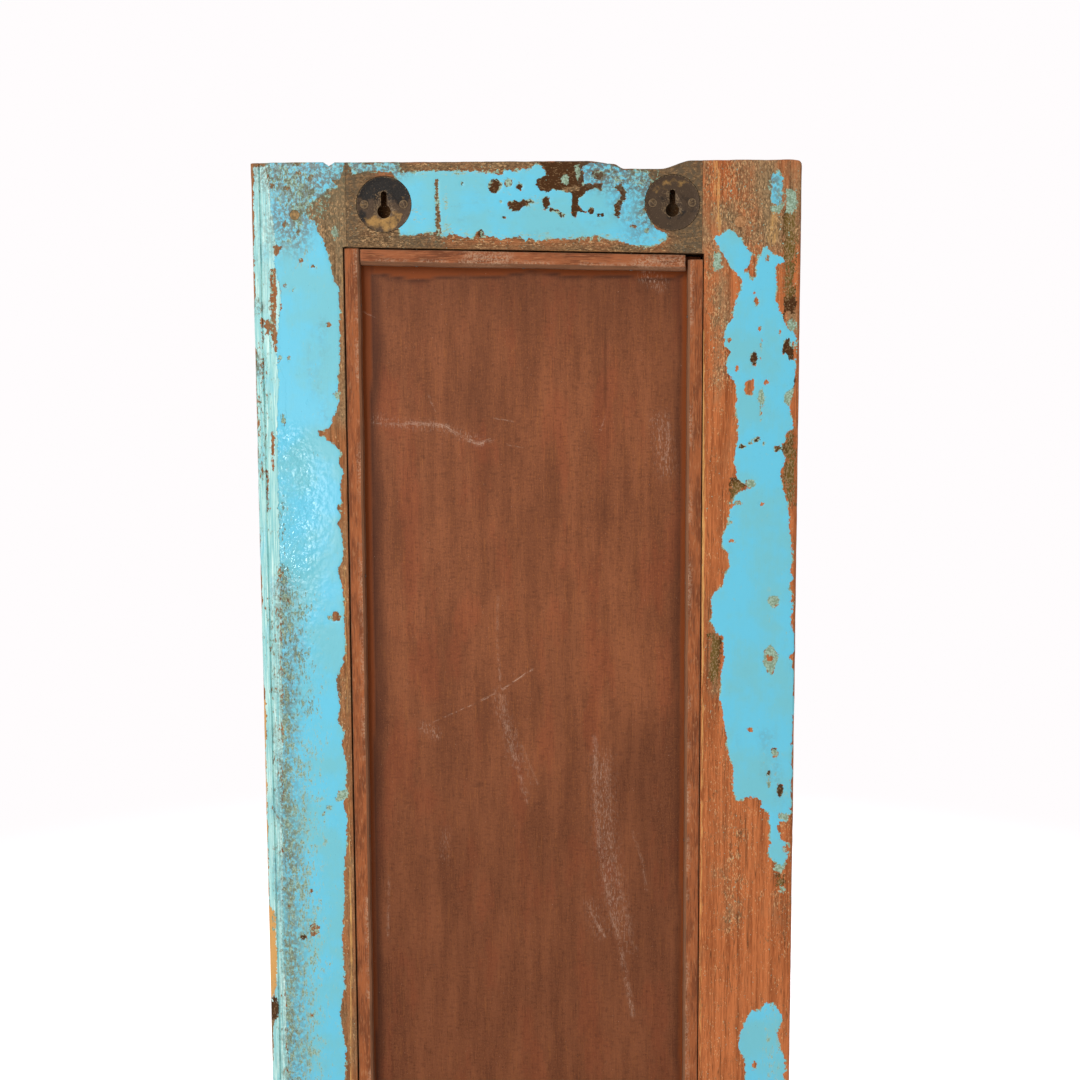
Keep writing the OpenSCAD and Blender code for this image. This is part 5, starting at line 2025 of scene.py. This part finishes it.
@dataclass
class Peg:
    """Round peg through a joint, sawn off flush and worn to a slight dome."""

    node: str
    finish: Finish
    # Width and rise of the rings of its ends, and how far their rims are worn and their faces are rough
    rings: tuple[Point, ...] = ((0.35, 0.0), (0.9, -0.15), (1.2, 0.06))
    rim_drop: float = 0.3
    roughness: float = 0.12

    def make(self) -> None:
        """Builds the peg and puts it in place of its solid."""
        x, z, radius, ends = round_box(self.node)
        middle = sum(ends) / 2
        peg = bar_y(f"{self.node}_sawn", x, z, radius, ends, 40)
        for wanted in (back_faces, front_faces):
            edit_faces(peg, wanted)
            inset_steps(*self.rings)
            leave_edit()
        places = corners_of(peg)
        rim = off_axis(places, x, z) > radius - NEAR
        end = (places[:, 1] > ends[1] - NEAR) | (places[:, 1] < ends[0] + NEAR)
        places[rim & end, 1] += self.rim_drop * np.sign(middle - places[rim & end, 1])
        places[end, 1] -= self.roughness * patchy(places[end], 2.5, 5) * np.sign(places[end, 1] - middle)
        move_corners(peg, places)
        hand_over(peg, self.node, self.finish)


class StainRim(NamedTuple):
    """How stain gathered, and how far painted shade reaches, along a side of the board's bare middle, in
    photo pixels.

    The strip of stain beside the bead and the band of painted shade past it have a width each, and a width
    over which they end.
    The strip's edge wanders by its ragged share.
    """

    strip: float
    ragged: float
    strip_end: float
    band: float
    band_end: float


@dataclass
class Backboard:
    """Stained board behind the glass, with scratches, stain that gathered along the beads, and painted shade
    beside and under them.
    """

    finish: Finish
    node: str = "backboard"
    pitch: float = 2.2
    # Rows down its sides, and how far its back is bowed
    rows: Point = (-0.6, -4.4)
    bow: float = 0.25
    scratches: tuple[Stroke, ...] = (
        Stroke(((421, 728), (440, 719), (456, 712), (472, 705)), 1.0, 0.85),
        Stroke(((484, 699), (502, 690), (516, 680), (530, 671)), 1.6, 1.0),
        Stroke(((376, 423), (400, 424)), 1.6, 0.6),
        Stroke(((410, 423), (446, 426), (460, 436), (478, 444), (488, 441)), 3.2, 0.85),
        Stroke(((430, 399), (434, 408)), 1.5, 0.8),
        Stroke(((497, 418.5), (511, 421)), 1.2, 0.8),
        Stroke(((511, 445.5), (519, 447)), 1.0, 0.8),
        Stroke(((601, 430), (604, 420)), 1.4, 0.7),
        Stroke(((366, 313), (374, 317)), 1.2, 0.8),
        Stroke(((501, 693), (508, 732), (516, 760), (526, 796)), 5.0, 0.42),
        Stroke(((516, 732), (526, 756), (536, 780)), 2.5, 0.3),
        Stroke(((595, 742), (596, 808), (600, 848), (610, 904), (620, 946), (632, 1010)), 4.5, 0.55),
        Stroke(((607, 770), (610, 840), (622, 900), (634, 946)), 5.0, 0.28),
        Stroke(((591, 911), (597, 924), (603, 934)), 2.2, 0.8),
        Stroke(((634, 836), (642, 860), (646, 886)), 2.5, 0.35),
        Stroke(((389, 880), (388, 932)), 2.5, 0.4),
        Stroke(((430, 725), (436, 735)), 1.6, 0.6),
        Stroke(((659, 430), (660, 446)), 1.2, 0.6),
        Stroke(((668, 418), (669, 440), (666, 462)), 2.2, 0.6),
        Stroke(((498, 600), (497, 640), (500, 676)), 2.5, 0.35),
    )
    scuffs: tuple[Stroke, ...] = (
        Stroke(((602, 760), (606, 840), (620, 925)), 20, 0.42),
        Stroke(((500, 700), (515, 760)), 12, 0.4),
        Stroke(((378, 419), (400, 424), (440, 426), (480, 442)), 9, 0.5),
        Stroke(((660, 420), (666, 470)), 16, 0.5),
        Stroke(((646, 276), (660, 284)), 12, 0.8),
        Stroke(((590, 905), (600, 932)), 12, 0.4),
        Stroke(((446, 832), (444, 856)), 9, 0.3),
        Stroke(((424, 727), (436, 734)), 9, 0.6),
    )
    # Strokes of painted shade under the top bead, beside the beads and lower down, and two small dark spots
    shade_and_spots: tuple[Stroke, ...] = (
        Stroke(((640, 750), (650, 850), (640, 960)), 70, 0.7),
        Stroke(((480, 270), (478, 410)), 34, 0.4),
        Stroke(((668, 290), (670, 420)), 30, 0.45),
        Stroke(((560, 640), (556, 760), (570, 900)), 44, 0.3),
        Stroke(((380, 270), (660, 276)), 90, 0.6),
        Stroke(((476, 785), (480, 785)), 5, 1.0),
        Stroke(((536, 804), (541, 803)), 4, 1.0),
    )
    # Sides and top of the bare middle in photo pixels, and the stain and the painted shade along them
    left_edge: Outline = ((360, -2000), (360, 268), (366, 946), (369, 2000))
    right_edge: Outline = ((689, -2000), (687.5, 268), (685.5, 946), (682, 2000))
    top_edge: float = 270.0
    rims: tuple[StainRim, ...] = (
        StainRim(11, 5, 3, 26, 14), StainRim(7, 5, 3, 20, 16), StainRim(6.5, 4, 2, 16, 12),
    )
    crack: Outline = ((607, 286), (605, 380), (607, 430), (606, 520))
    # Between which heights of the photograph the board is painted darker downwards
    darkens: Point = (600, 900)

    def make(self) -> None:
        """Builds the board and puts it in place of its solid."""
        low, high = mm_box(self.node)
        board = plate_grid("backboard_stained", (low[0], high[0]), (low[2], high[2]), high[1], self.pitch)
        thicken(board, (*self.rows, low[1] - high[1]))
        edit_faces(board, front_faces)
        bpy.ops.mesh.dissolve_faces()
        leave_edit()
        places = corners_of(board)
        face = places[:, 1] > high[1] - NEAR
        places[face, 1] -= self.bow * rough(places[face] * (1, 0, 1), (70, 70, 240), 61)
        move_corners(board, places)
        self.map_stain(board)
        self.map_scratches(board)
        hand_over(board, self.node, self.finish)

    def map_stain(self, board: Piece) -> None:
        """Writes where the stain gathered, where shade is painted and where the board is otherwise dark.

        Args:
            board: The board.
        """
        places = corners_of(board)
        u, v = CAMERA.see(places)
        wave = rough(places * (1, 0, 1), (30, 30, 60), 71) - 0.5
        left, right = (off_line(u, v, edge)[0] for edge in (self.left_edge, self.right_edge))
        # The line of the stain and of the painted shade under the top bead is wavy
        top = v - self.top_edge - 2.2 * np.sin(u / 31) - 1.6 * np.sin(u / 13 + 1)
        strip, band = np.zeros(len(u)), np.zeros(len(u))
        for off, rim in zip((left, right, top), self.rims):
            strip = np.maximum(strip, rise(rim.strip - off + rim.ragged * wave, 0, rim.strip_end))
            band = np.maximum(band, rise(rim.band - off + 12 * wave, 0, rim.band_end))
        # Painted shade: the band past the strip beside and under the beads, and the shade strokes; the board
        # is also darker towards the bottom and along the crack
        band = np.maximum(1.35 * band * (1 - strip), near_strokes(u, v, self.shade_and_spots))
        band = np.maximum(band, 0.5 * rise(v, *self.darkens))
        band = np.maximum(band, rise(1.6 - off_line(u, v, self.crack)[0], 0, 1.4))
        line = rise(1.8 - np.abs(top - 6.4 - 2 * wave), 0, 1.6) * (left > 4) * (right > 4)
        line = np.maximum(line, 0.6 * rise(1.5 - np.abs(left - 11 - 5 * wave), 0, 1.5))
        write_map(board, BoardMark.STAIN_EDGE.value, strip)
        write_map(board, BoardMark.DARK_BAND.value, 0.7 * band)
        write_map(board, BoardMark.WET_LINE.value, 0.6 * line)
        write_map(board, BoardMark.SCUFF.value, near_strokes(u, v, self.scuffs))

    def map_scratches(self, board: Piece) -> None:
        """Writes where each point lies beside its nearest scratch, and how wide and strong that one is.

        Args:
            board: The board.
        """
        u, v = CAMERA.see(corners_of(board))
        nearest = np.full(len(u), np.inf)
        found = {mark: np.zeros(len(u)) for mark in SCRATCH_MARKS}
        for scratch in self.scratches:
            far, off, run = off_line(u, v, scratch.line)
            closer = far - scratch.reach < nearest
            nearest = np.where(closer, far - scratch.reach, nearest)
            ends = rise(scratch.reach + 4 - far, 0, 3)
            values = (off / PX, run / PX, scratch.reach / PX, scratch.strength * ends)
            for mark, value in zip(SCRATCH_MARKS, values):
                found[mark] = np.where(closer, value, found[mark])
        for mark, values in found.items():
            write_map(board, mark.value, values)


@dataclass
class Bead:
    """Square bead pinned in the rebate, with a bevel along the edge that faces the opening."""

    node: str
    finish: Finish
    level: bool
    # Sign of the way from its wall into the opening
    inner: int
    pitch: float = 1.3
    bevel: float = 1.6
    # How steeply it slopes, and whether its end at the hanging side is broken off
    slope: float = 0.0
    broken: bool = False
    break_r: float = 6.0
    seed: int = 81
    rubs: tuple[Stroke, ...] = ()

    def make(self) -> None:
        """Builds the bead and puts it in place of its solid."""
        low, high = mm_box(self.node)
        across, along = (2, 0) if self.level else (0, 2)
        fall = self.slope * (high[0] - low[0])
        sides = (low[across], high[across] - fall)
        wall, inner = sides if self.inner > 0 else sides[::-1]
        x, z = (low[0], high[0]), (low[2], high[2] - fall)
        bead = plate_grid(f"{self.node}_stained", x, z, high[1], self.pitch)
        places = corners_of(bead)
        keys = [inner - self.inner * d for d in (0.3, self.bevel * 0.5, self.bevel, self.bevel + 0.5)]
        keys += [wall + self.inner * d for d in (0.35, 1.0)]
        places[:, across] = on_lines(places[:, across], keys)
        move_corners(bead, places)
        thicken(bead, (-self.bevel - 0.6, -self.bevel - 4.6, low[1] - high[1]))
        places = corners_of(bead)
        from_inner, from_wall = (np.abs(places[:, across] - side) for side in (inner, wall))
        from_end = np.minimum(places[:, along] - low[along], high[along] - places[:, along])
        self.shape(bead, across, low[0], from_inner, from_wall, from_end)
        self.map_wear(bead, from_inner, from_wall, from_end)
        hand_over(bead, self.node, self.finish, 30.0)

    def shape(
        self, bead: Piece, across: int, start: float, from_inner: Array, from_wall: Array, from_end: Array
    ) -> None:
        """Bevels the bead, wears its arrises, bends it and breaks its end off.

        Args:
            bead: The plain bead.
            across: Axis across it.
            start: Where its end at the hanging side lies.
            from_inner: Distance of each point from the side in the opening.
            from_wall: Distance of each point from the side at the wall.
            from_end: Distance of each point from the nearer end.
        """
        places = corners_of(bead)
        back = places[:, 1] > places[:, 1].max() - NEAR
        only_along = places * ((1, 0, 0) if self.level else (0, 0, 1))
        ridges = (30.0, 2.0, 2.0) if self.level else (2.0, 2.0, 30.0)
        worn = 0.4 + 1.2 * patchy(only_along + 3, 13, self.seed)
        drop = np.clip(self.bevel + 0.4 * (worn - 1) - from_inner, 0, None)
        drop += rounding(from_wall, 0.45 * worn) + rounding(from_end, 0.5)
        drop += 0.18 * rough(places * (1, 0, 1), ridges, self.seed + 1, 3)
        places[back, 1] -= drop[back]
        wave = 0.9 * rough(only_along + places * (0, 0.2, 0), 22, self.seed + 2)
        places[:, across] -= self.inner * wave * rise(5 - from_inner, 0, 5)
        places[:, across] += 0.35 * self.inner * wave * rise(4 - from_wall, 0, 4)
        if self.broken:
            jag = 2.4 * rough(places * (0, 0.6, 1), 4, self.seed + 3)
            places[:, 0] += jag * rise(self.break_r - (places[:, 0] - start), 0, self.break_r)
            places[back, 1] -= 0.35 * rounding(places[back, 0] - start, self.break_r)
        places[:, 2] += self.slope * (places[:, 0] - start)
        move_corners(bead, places)

    def map_wear(self, bead: Piece, from_inner: Array, from_wall: Array, from_end: Array) -> None:
        """Writes where shade is painted on the bead's bevel, where it is darker along its wall side and ends,
        and where it is rubbed pale or painted with a highlight.

        Args:
            bead: The shaped bead.
            from_inner: Distance of each point from the side in the opening.
            from_wall: Distance of each point from the side at the wall.
            from_end: Distance of each point from the nearer end.
        """
        places = corners_of(bead)
        # Painted shade on the bevel; darker along the wall side and the ends
        bevelled = rise(self.bevel + 0.5 - from_inner, 0, 0.6)
        darker_rims = 0.75 * rise(1.4 - from_wall, 0, 1.4) + 0.4 * rise(2 - from_end, 0, 2)
        # Rubbed pale, and painted as a highlight, along the arris beside the bevel
        rubbed = 0.8 * rise(1.0 - np.abs(from_inner - self.bevel - 0.7), 0, 1.0)
        rubbed *= rise(rough(places, 18, self.seed + 7), 0.45, 0.6)
        write_map(bead, "bevelled", np.clip(bevelled + darker_rims, 0, 1))
        write_map(bead, "rubbed", np.maximum(rubbed, near_strokes(*CAMERA.see(places), self.rubs)))


@dataclass
class HangerPlate:
    """Round brass plate with a keyhole, sunk flush and held by two countersunk screws."""

    node: str
    finish: Finish
    # Middle of the keyhole's slot and of its round entry, and their radii
    seat_z: float = 0.0
    entry_z: float = -13.6
    entry_r: float = 5.4
    slot_r: float = 2.4
    screw_out: float = 15.7
    head_r: float = 3.45
    sink: float = 1.0
    screw_hole_r: float = 1.55
    # Width and rise of the rings on its face, how far its rim is worn down and how uneven it is
    rings: tuple[Point, ...] = ((0.3, 0.0), (0.9, 0.0), (0.5, -0.14), (3.2, 0.0), (4.6, 0.0))
    rim_drop: float = 0.3
    uneven: float = 0.1
    bevel: float = 0.18
    shine: tuple[Stroke, ...] = ()
    soot: tuple[Stroke, ...] = ()

    def make(self) -> None:
        """Builds the plate and puts it in place of its solid."""
        x, z, radius, ends = round_box(self.node)
        through = (ends[0] - 1, PROUD)
        plate = bar_y(f"{self.node}_stamped", x, z, radius, ends, 96)
        edit_faces(plate, back_faces)
        inset_steps(*self.rings)
        leave_edit()
        places = corners_of(plate)
        top = places[:, 1] > ends[0] + 0.5
        places[top & (off_axis(places, x, z) > radius - NEAR), 1] -= self.rim_drop
        places[top, 1] -= self.uneven * patchy(places[top], 6, 91)
        move_corners(plate, places)
        combine(plate, bar_y("entry", x, self.entry_z, self.entry_r, through))
        slot = bar_y("slot", x, self.seat_z, self.slot_r, through, 32)
        places = corners_of(slot)
        places[places[:, 2] < self.seat_z - NEAR, 2] += self.entry_z
        move_corners(slot, places)
        combine(plate, slot)
        for out in (x - self.screw_out, x + self.screw_out):
            combine(plate, bar_y("sink", out, z, self.head_r, (ends[1] - self.sink, PROUD), 32))
            combine(plate, bar_y("sink_hole", out, z, self.screw_hole_r, through, 24))
        width, turn = self.bevel * MM, math.radians(50)
        apply_modifier(plate, "BEVEL", width=width, segments=2, limit_method="ANGLE", angle_limit=turn)
        self.map_patina(plate, x, off_axis(corners_of(plate), x, z) - radius)
        hand_over(plate, self.node, self.finish)

    def map_patina(self, plate: Piece, x: float, past_rim: Array) -> None:
        """Writes where the brass is bright, sooty or worn.

        Args:
            plate: The plate.
            x: Its middle.
            past_rim: How far each point lies past its rim, which is below zero on the plate.
        """
        places = corners_of(plate)
        u, v = CAMERA.see(places)
        write_map(plate, "shine", near_strokes(u, v, self.shine))
        write_map(plate, "soot", near_strokes(u, v, self.soot))
        in_slot = np.clip(places[:, 2], self.entry_z, self.seat_z)
        from_hole = np.where(
            places[:, 2] < self.entry_z + 4.6,
            off_axis(places, x, self.entry_z) - self.entry_r,
            off_axis(places, x, in_slot) - self.slot_r,
        )
        write_map(plate, "worn_rim", np.maximum(rise(past_rim, -1.2, 0), rise(0.7 - from_hole, 0, 0.7)))


@dataclass
class HangerScrew:
    """Countersunk brass screw with a low dome, a filed ring and a slot."""

    node: str
    finish: Finish
    slot_turn: float = 20.0
    slot_depth: float = 0.42
    slot_w: float = 0.8
    shank_r: float = 1.5
    # Front and back of the head's rim, from the solid's back, and width and rise of the rings on its dome
    rim: Point = (-0.5, -0.35)
    rings: tuple[Point, ...] = ((0.45, 0.18), (0.3, -0.16), (0.5, 0.22), (0.8, 0.08), (0.6, 0.03))
    # How far the head narrows to the shank, and the length and the blunt radius of its point
    sink: float = 1.1
    point_len: float = 3.0
    point_r: float = 0.1

    def make(self) -> None:
        """Builds the screw and puts it in place of its solid."""
        x, z, radius, (tip, back) = round_box(self.node)
        screw = bar_y(f"{self.node}_turned", x, z, radius, (back + self.rim[0], back + self.rim[1]), 40)
        edit_faces(screw, back_faces)
        inset_steps(*self.rings)
        leave_edit()
        edit_faces(screw, front_faces)
        inset_steps((radius - self.shank_r, 0.0))
        extrude_by(y=-1.2)
        extrude_by(y=tip + self.point_len - (back - 1.7))
        inset_steps((self.shank_r - self.point_r, 0.0))
        leave_edit()
        places = corners_of(screw)
        under = (places[:, 1] < back - 0.45) & (places[:, 1] > back - 0.6)
        reach = off_axis(places, x, z)
        places[under & (reach < self.shank_r + 0.05), 1] -= self.sink
        places[(reach < self.point_r + 0.05) & (places[:, 1] < tip + 4), 1] = tip
        move_corners(screw, places)
        self.cut_slot(screw, x, z, radius, back)
        reach = off_axis(corners_of(screw), x, z)
        write_map(screw, "shine", 0.25)
        write_map(screw, "soot", 0.35)
        write_map(screw, "worn_rim", 0.4 + 1.1 * rise(reach, radius - 1.0, radius - 0.6))
        activate(screw)
        bpy.ops.object.mode_set(mode="EDIT")
        leave_edit(outwards=True)
        hand_over(screw, self.node, self.finish)

    def cut_slot(self, screw: Piece, x: float, z: float, radius: float, back: float) -> None:
        """Cuts the turned slot into the head.

        Args:
            screw: The screw.
            x: Where its middle lies along X.
            z: Where its middle lies along Z.
            radius: Its head's radius.
            back: Where the solid's head ends at the back.
        """
        half = self.slot_w / 2
        low, high = (x - radius - 1, back - self.slot_depth, z - half), (x + radius + 1, back + 1, z + half)
        slot = block("slot", low, high)
        places = corners_of(slot)
        turn = math.radians(self.slot_turn)
        off_x, off_z = places[:, 0] - x, places[:, 2] - z
        places[:, 0] = x + off_x * math.cos(turn) - off_z * math.sin(turn)
        places[:, 2] = z + off_x * math.sin(turn) + off_z * math.cos(turn)
        move_corners(slot, places)
        combine(screw, slot)


@dataclass(frozen=True)
class Lamp:
    """Square area lamp. Lengths are in metres and power is in watts."""

    name: str
    place: Spot
    target: Spot
    size: float
    power: float

    def hang(self) -> None:
        """Adds the lamp to the scene."""
        data = bpy.data.lights.new(self.name, "AREA")
        data.size, data.energy = self.size, self.power
        lamp = bpy.data.objects.new(self.name, data)
        lamp.location = self.place
        lamp.rotation_euler = (Vector(self.target) - Vector(self.place)).to_track_quat("-Z", "Y").to_euler()
        bpy.context.scene.collection.objects.link(lamp)


@dataclass(frozen=True)
class Studio:
    """Plain studio: white surroundings, a pale floor and soft lamps."""

    white: str = "#FFFCFD"
    shade: str = "#FBF9FA"
    around: float = 0.56
    floor_glow: float = 0.55
    # Half the floor's side, and where the floor fades into the white from its middle, in metres
    floor_half: float = 2.0
    floor_fade: Point = (0.7, 1.5)
    lamps: tuple[Lamp, ...] = (
        Lamp("key", (1.1, 2.1, 0.9), (0.0, 0.0, -0.3), 1.2, 36.0),
        Lamp("gloss", (0.425, 1.21, -0.355), (0.19, 0.0, -0.25), 0.07, 2.0),
        Lamp("front_fill", (-0.9, -2.1, 0.8), (0.0, 0.0, -0.4), 1.4, 26.0),
    )

    def set_up(self) -> None:
        """Adds the surroundings, the lamps and the floor."""
        world = bpy.data.worlds.new("studio")
        bpy.context.scene.world = world
        g = Graph(world)
        seen = 0.0
        for ray in ("Is Camera Ray", "Is Glossy Ray", "Is Transmission Ray"):
            seen = g.add(Node.HIGHER, seen, g.add(Node.RAY, output=ray))
        strength = g.add(Node.SHARE, seen, 0.0, 1.0, self.around, 1.0)
        g.add(Node.SKY, g.add(Node.BACKGROUND, self.white, strength))
        for lamp in self.lamps:
            lamp.hang()
        self.lay_floor()

    def lay_floor(self) -> None:
        """Adds the floor under the frame, white to the eye and darker in the frame's shadow."""
        deselect_all()
        bpy.ops.mesh.primitive_plane_add(size=2 * self.floor_half, location=(0, 0, LINES.z_bottom * MM))
        floor = bpy.context.object
        floor.name = "floor"
        g = Graph(bpy.data.materials.new("pale_floor"))
        matt = g.add(Node.DIFFUSE, g.lay(self.shade, self.white, g.patches(400.0), 0.3, 0.7))
        glow = g.add(Node.EMISSION, self.white, self.floor_glow)
        glow = g.add(Node.MIX_SHADER, g.add(Node.RAY, output="Is Camera Ray"), None, glow)
        lit = g.add(Node.ADD_SHADER, matt, glow)
        out_by = g.add(Node.SHARE, g.add(Node.LENGTH, g.add(Node.PLACES)), *self.floor_fade)
        g.add(Node.SURFACE, g.add(Node.MIX_SHADER, out_by, lit, g.add(Node.CLEAR)))
        floor.data.materials.append(g.owner)
        floor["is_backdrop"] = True


def refinish(node: str, finish: Finish) -> None:
    """Gives a solid that stays as it is its material.

    Args:
        node: The solid.
        finish: The material.
    """
    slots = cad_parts[node].data.materials
    slots.clear()
    slots.append(finish)
    log.info("%s: refinished", node)


def build_frame() -> None:
    """Builds the four frame members and their pegs."""
    brushed = FlakingPaint(
        "brushed_oil_paint_on_teak", Grain.UPRIGHT, wood="#A4673C", wood_dark="#6E4327", dapple=0.06
    ).make()
    flaked = FlakingPaint("flaking_oil_paint_on_teak", Grain.UPRIGHT).make()
    level = FlakingPaint(
        "flaking_oil_paint_on_level_teak", Grain.LEVEL, wood="#A8683F", wood_dark="#6B4026", tan="#8A6B49",
        tan_dark="#54412C", dirt="#5A4D3B",
    ).make()
    Stile("meeting_stile", MEETING_PAINT, brushed, strip_w=16.0, strip_fall=2.2, notch_depth=3.0).make()
    Stile(
        "hanging_stile", HANGING_PAINT, flaked, side=Side.HANGING, back_r=2.5, corner_r=5.0, peg_x=-171.5,
        peg_drop=48.5, peg_d=9.5, seed=101,
    ).make()
    Rail(
        "top_rail", RAIL_PAINT, level, pitch=1.1, hollow_depth=6.4, hangers=(113.0, -117.0), seed=201
    ).make()
    Rail("bottom_rail", LOW_RAIL_PAINT, level, pitch=1.8, upper=False, seed=301).make()
    tan = SawnPeg().make()
    brown = SawnPeg("sawn_peg_red_end_grain", light="#BC8A5E", dark="#94663F").make()
    for end in ("top", "bottom"):
        Peg(f"peg_{end}_meeting", tan).make()
        Peg(f"peg_{end}_hanging", brown).make()


def build_filling() -> None:
    """Builds the backboard and the beads, and finishes the glass and the pins."""
    refinish("mirror_glass", SilveredGlass().make())
    Backboard(StainedBoard().make()).make()
    upright = StainedBead("stained_softwood_bead_upright", Grain.UPRIGHT).make()
    level = StainedBead("stained_softwood_bead_level", Grain.LEVEL, face="#9A5A36", shade="#6B3A20").make()
    slope = LINES.rail_taper / (LINES.meeting_x - LINES.hanging_x)
    Bead("bead_meeting_side", upright, False, -1, seed=81).make()
    Bead("bead_hanging_side", upright, False, 1, seed=181).make()
    Bead(
        "bead_top", level, True, -1, bevel=3.0, slope=slope, broken=True, seed=281,
        rubs=(Stroke(((470, 257), (505, 258)), 14, 0.7), Stroke(((640, 262), (684, 262)), 12, 0.7)),
    ).make()
    Bead("bead_bottom", level, True, 1, seed=381).make()
    pin = DrawnPin().make()
    for node in ("pins_top", "pins_bottom", "pins_meeting_side", "pins_hanging_side"):
        refinish(node, pin)


def build_hangers() -> None:
    """Builds the hanger plates and their screws."""
    brass = OldBrass().make()
    HangerPlate(
        "hanger_plate_meeting", brass, shine=(Stroke(((372, 222), (385, 225), (397, 217)), 12, 0.8),),
        soot=(
            Stroke(((366, 190), (384, 182), (402, 192)), 24, 1.0), Stroke(((362, 212), (364, 220)), 8, 0.7),
        ),
    ).make()
    HangerPlate(
        "hanger_plate_hanging", brass, shine=(Stroke(((655, 190), (668, 182), (685, 182)), 8, 0.45),),
        soot=(Stroke(((660, 200), (672, 218), (690, 205)), 16, 0.45),),
    ).make()
    turns = {"meeting_outer": 15.0, "meeting_inner": 70.0, "hanging_inner": 40.0, "hanging_outer": -25.0}
    for name, turn in turns.items():
        HangerScrew(f"screw_{name}", brass, slot_turn=turn).make()


def write_sizes() -> None:
    """Writes the solids' box and the finished model's box, in metres."""
    boxes = {"cad": cad_box, "visual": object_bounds()}
    boxes = {name: [list(corner) for corner in box] for name, box in boxes.items()}
    log.info("sizes: %s", boxes)


def main() -> None:
    """Builds the mirror's looks piece by piece."""
    logging.basicConfig(level=logging.INFO, format="%(name)s: %(message)s")
    bpy.context.scene.view_settings.view_transform = "Standard"
    CAMERA.set_up()
    Studio().set_up()
    build_frame()
    build_filling()
    build_hangers()
    write_sizes()


if __name__ == "__main__":
    main()
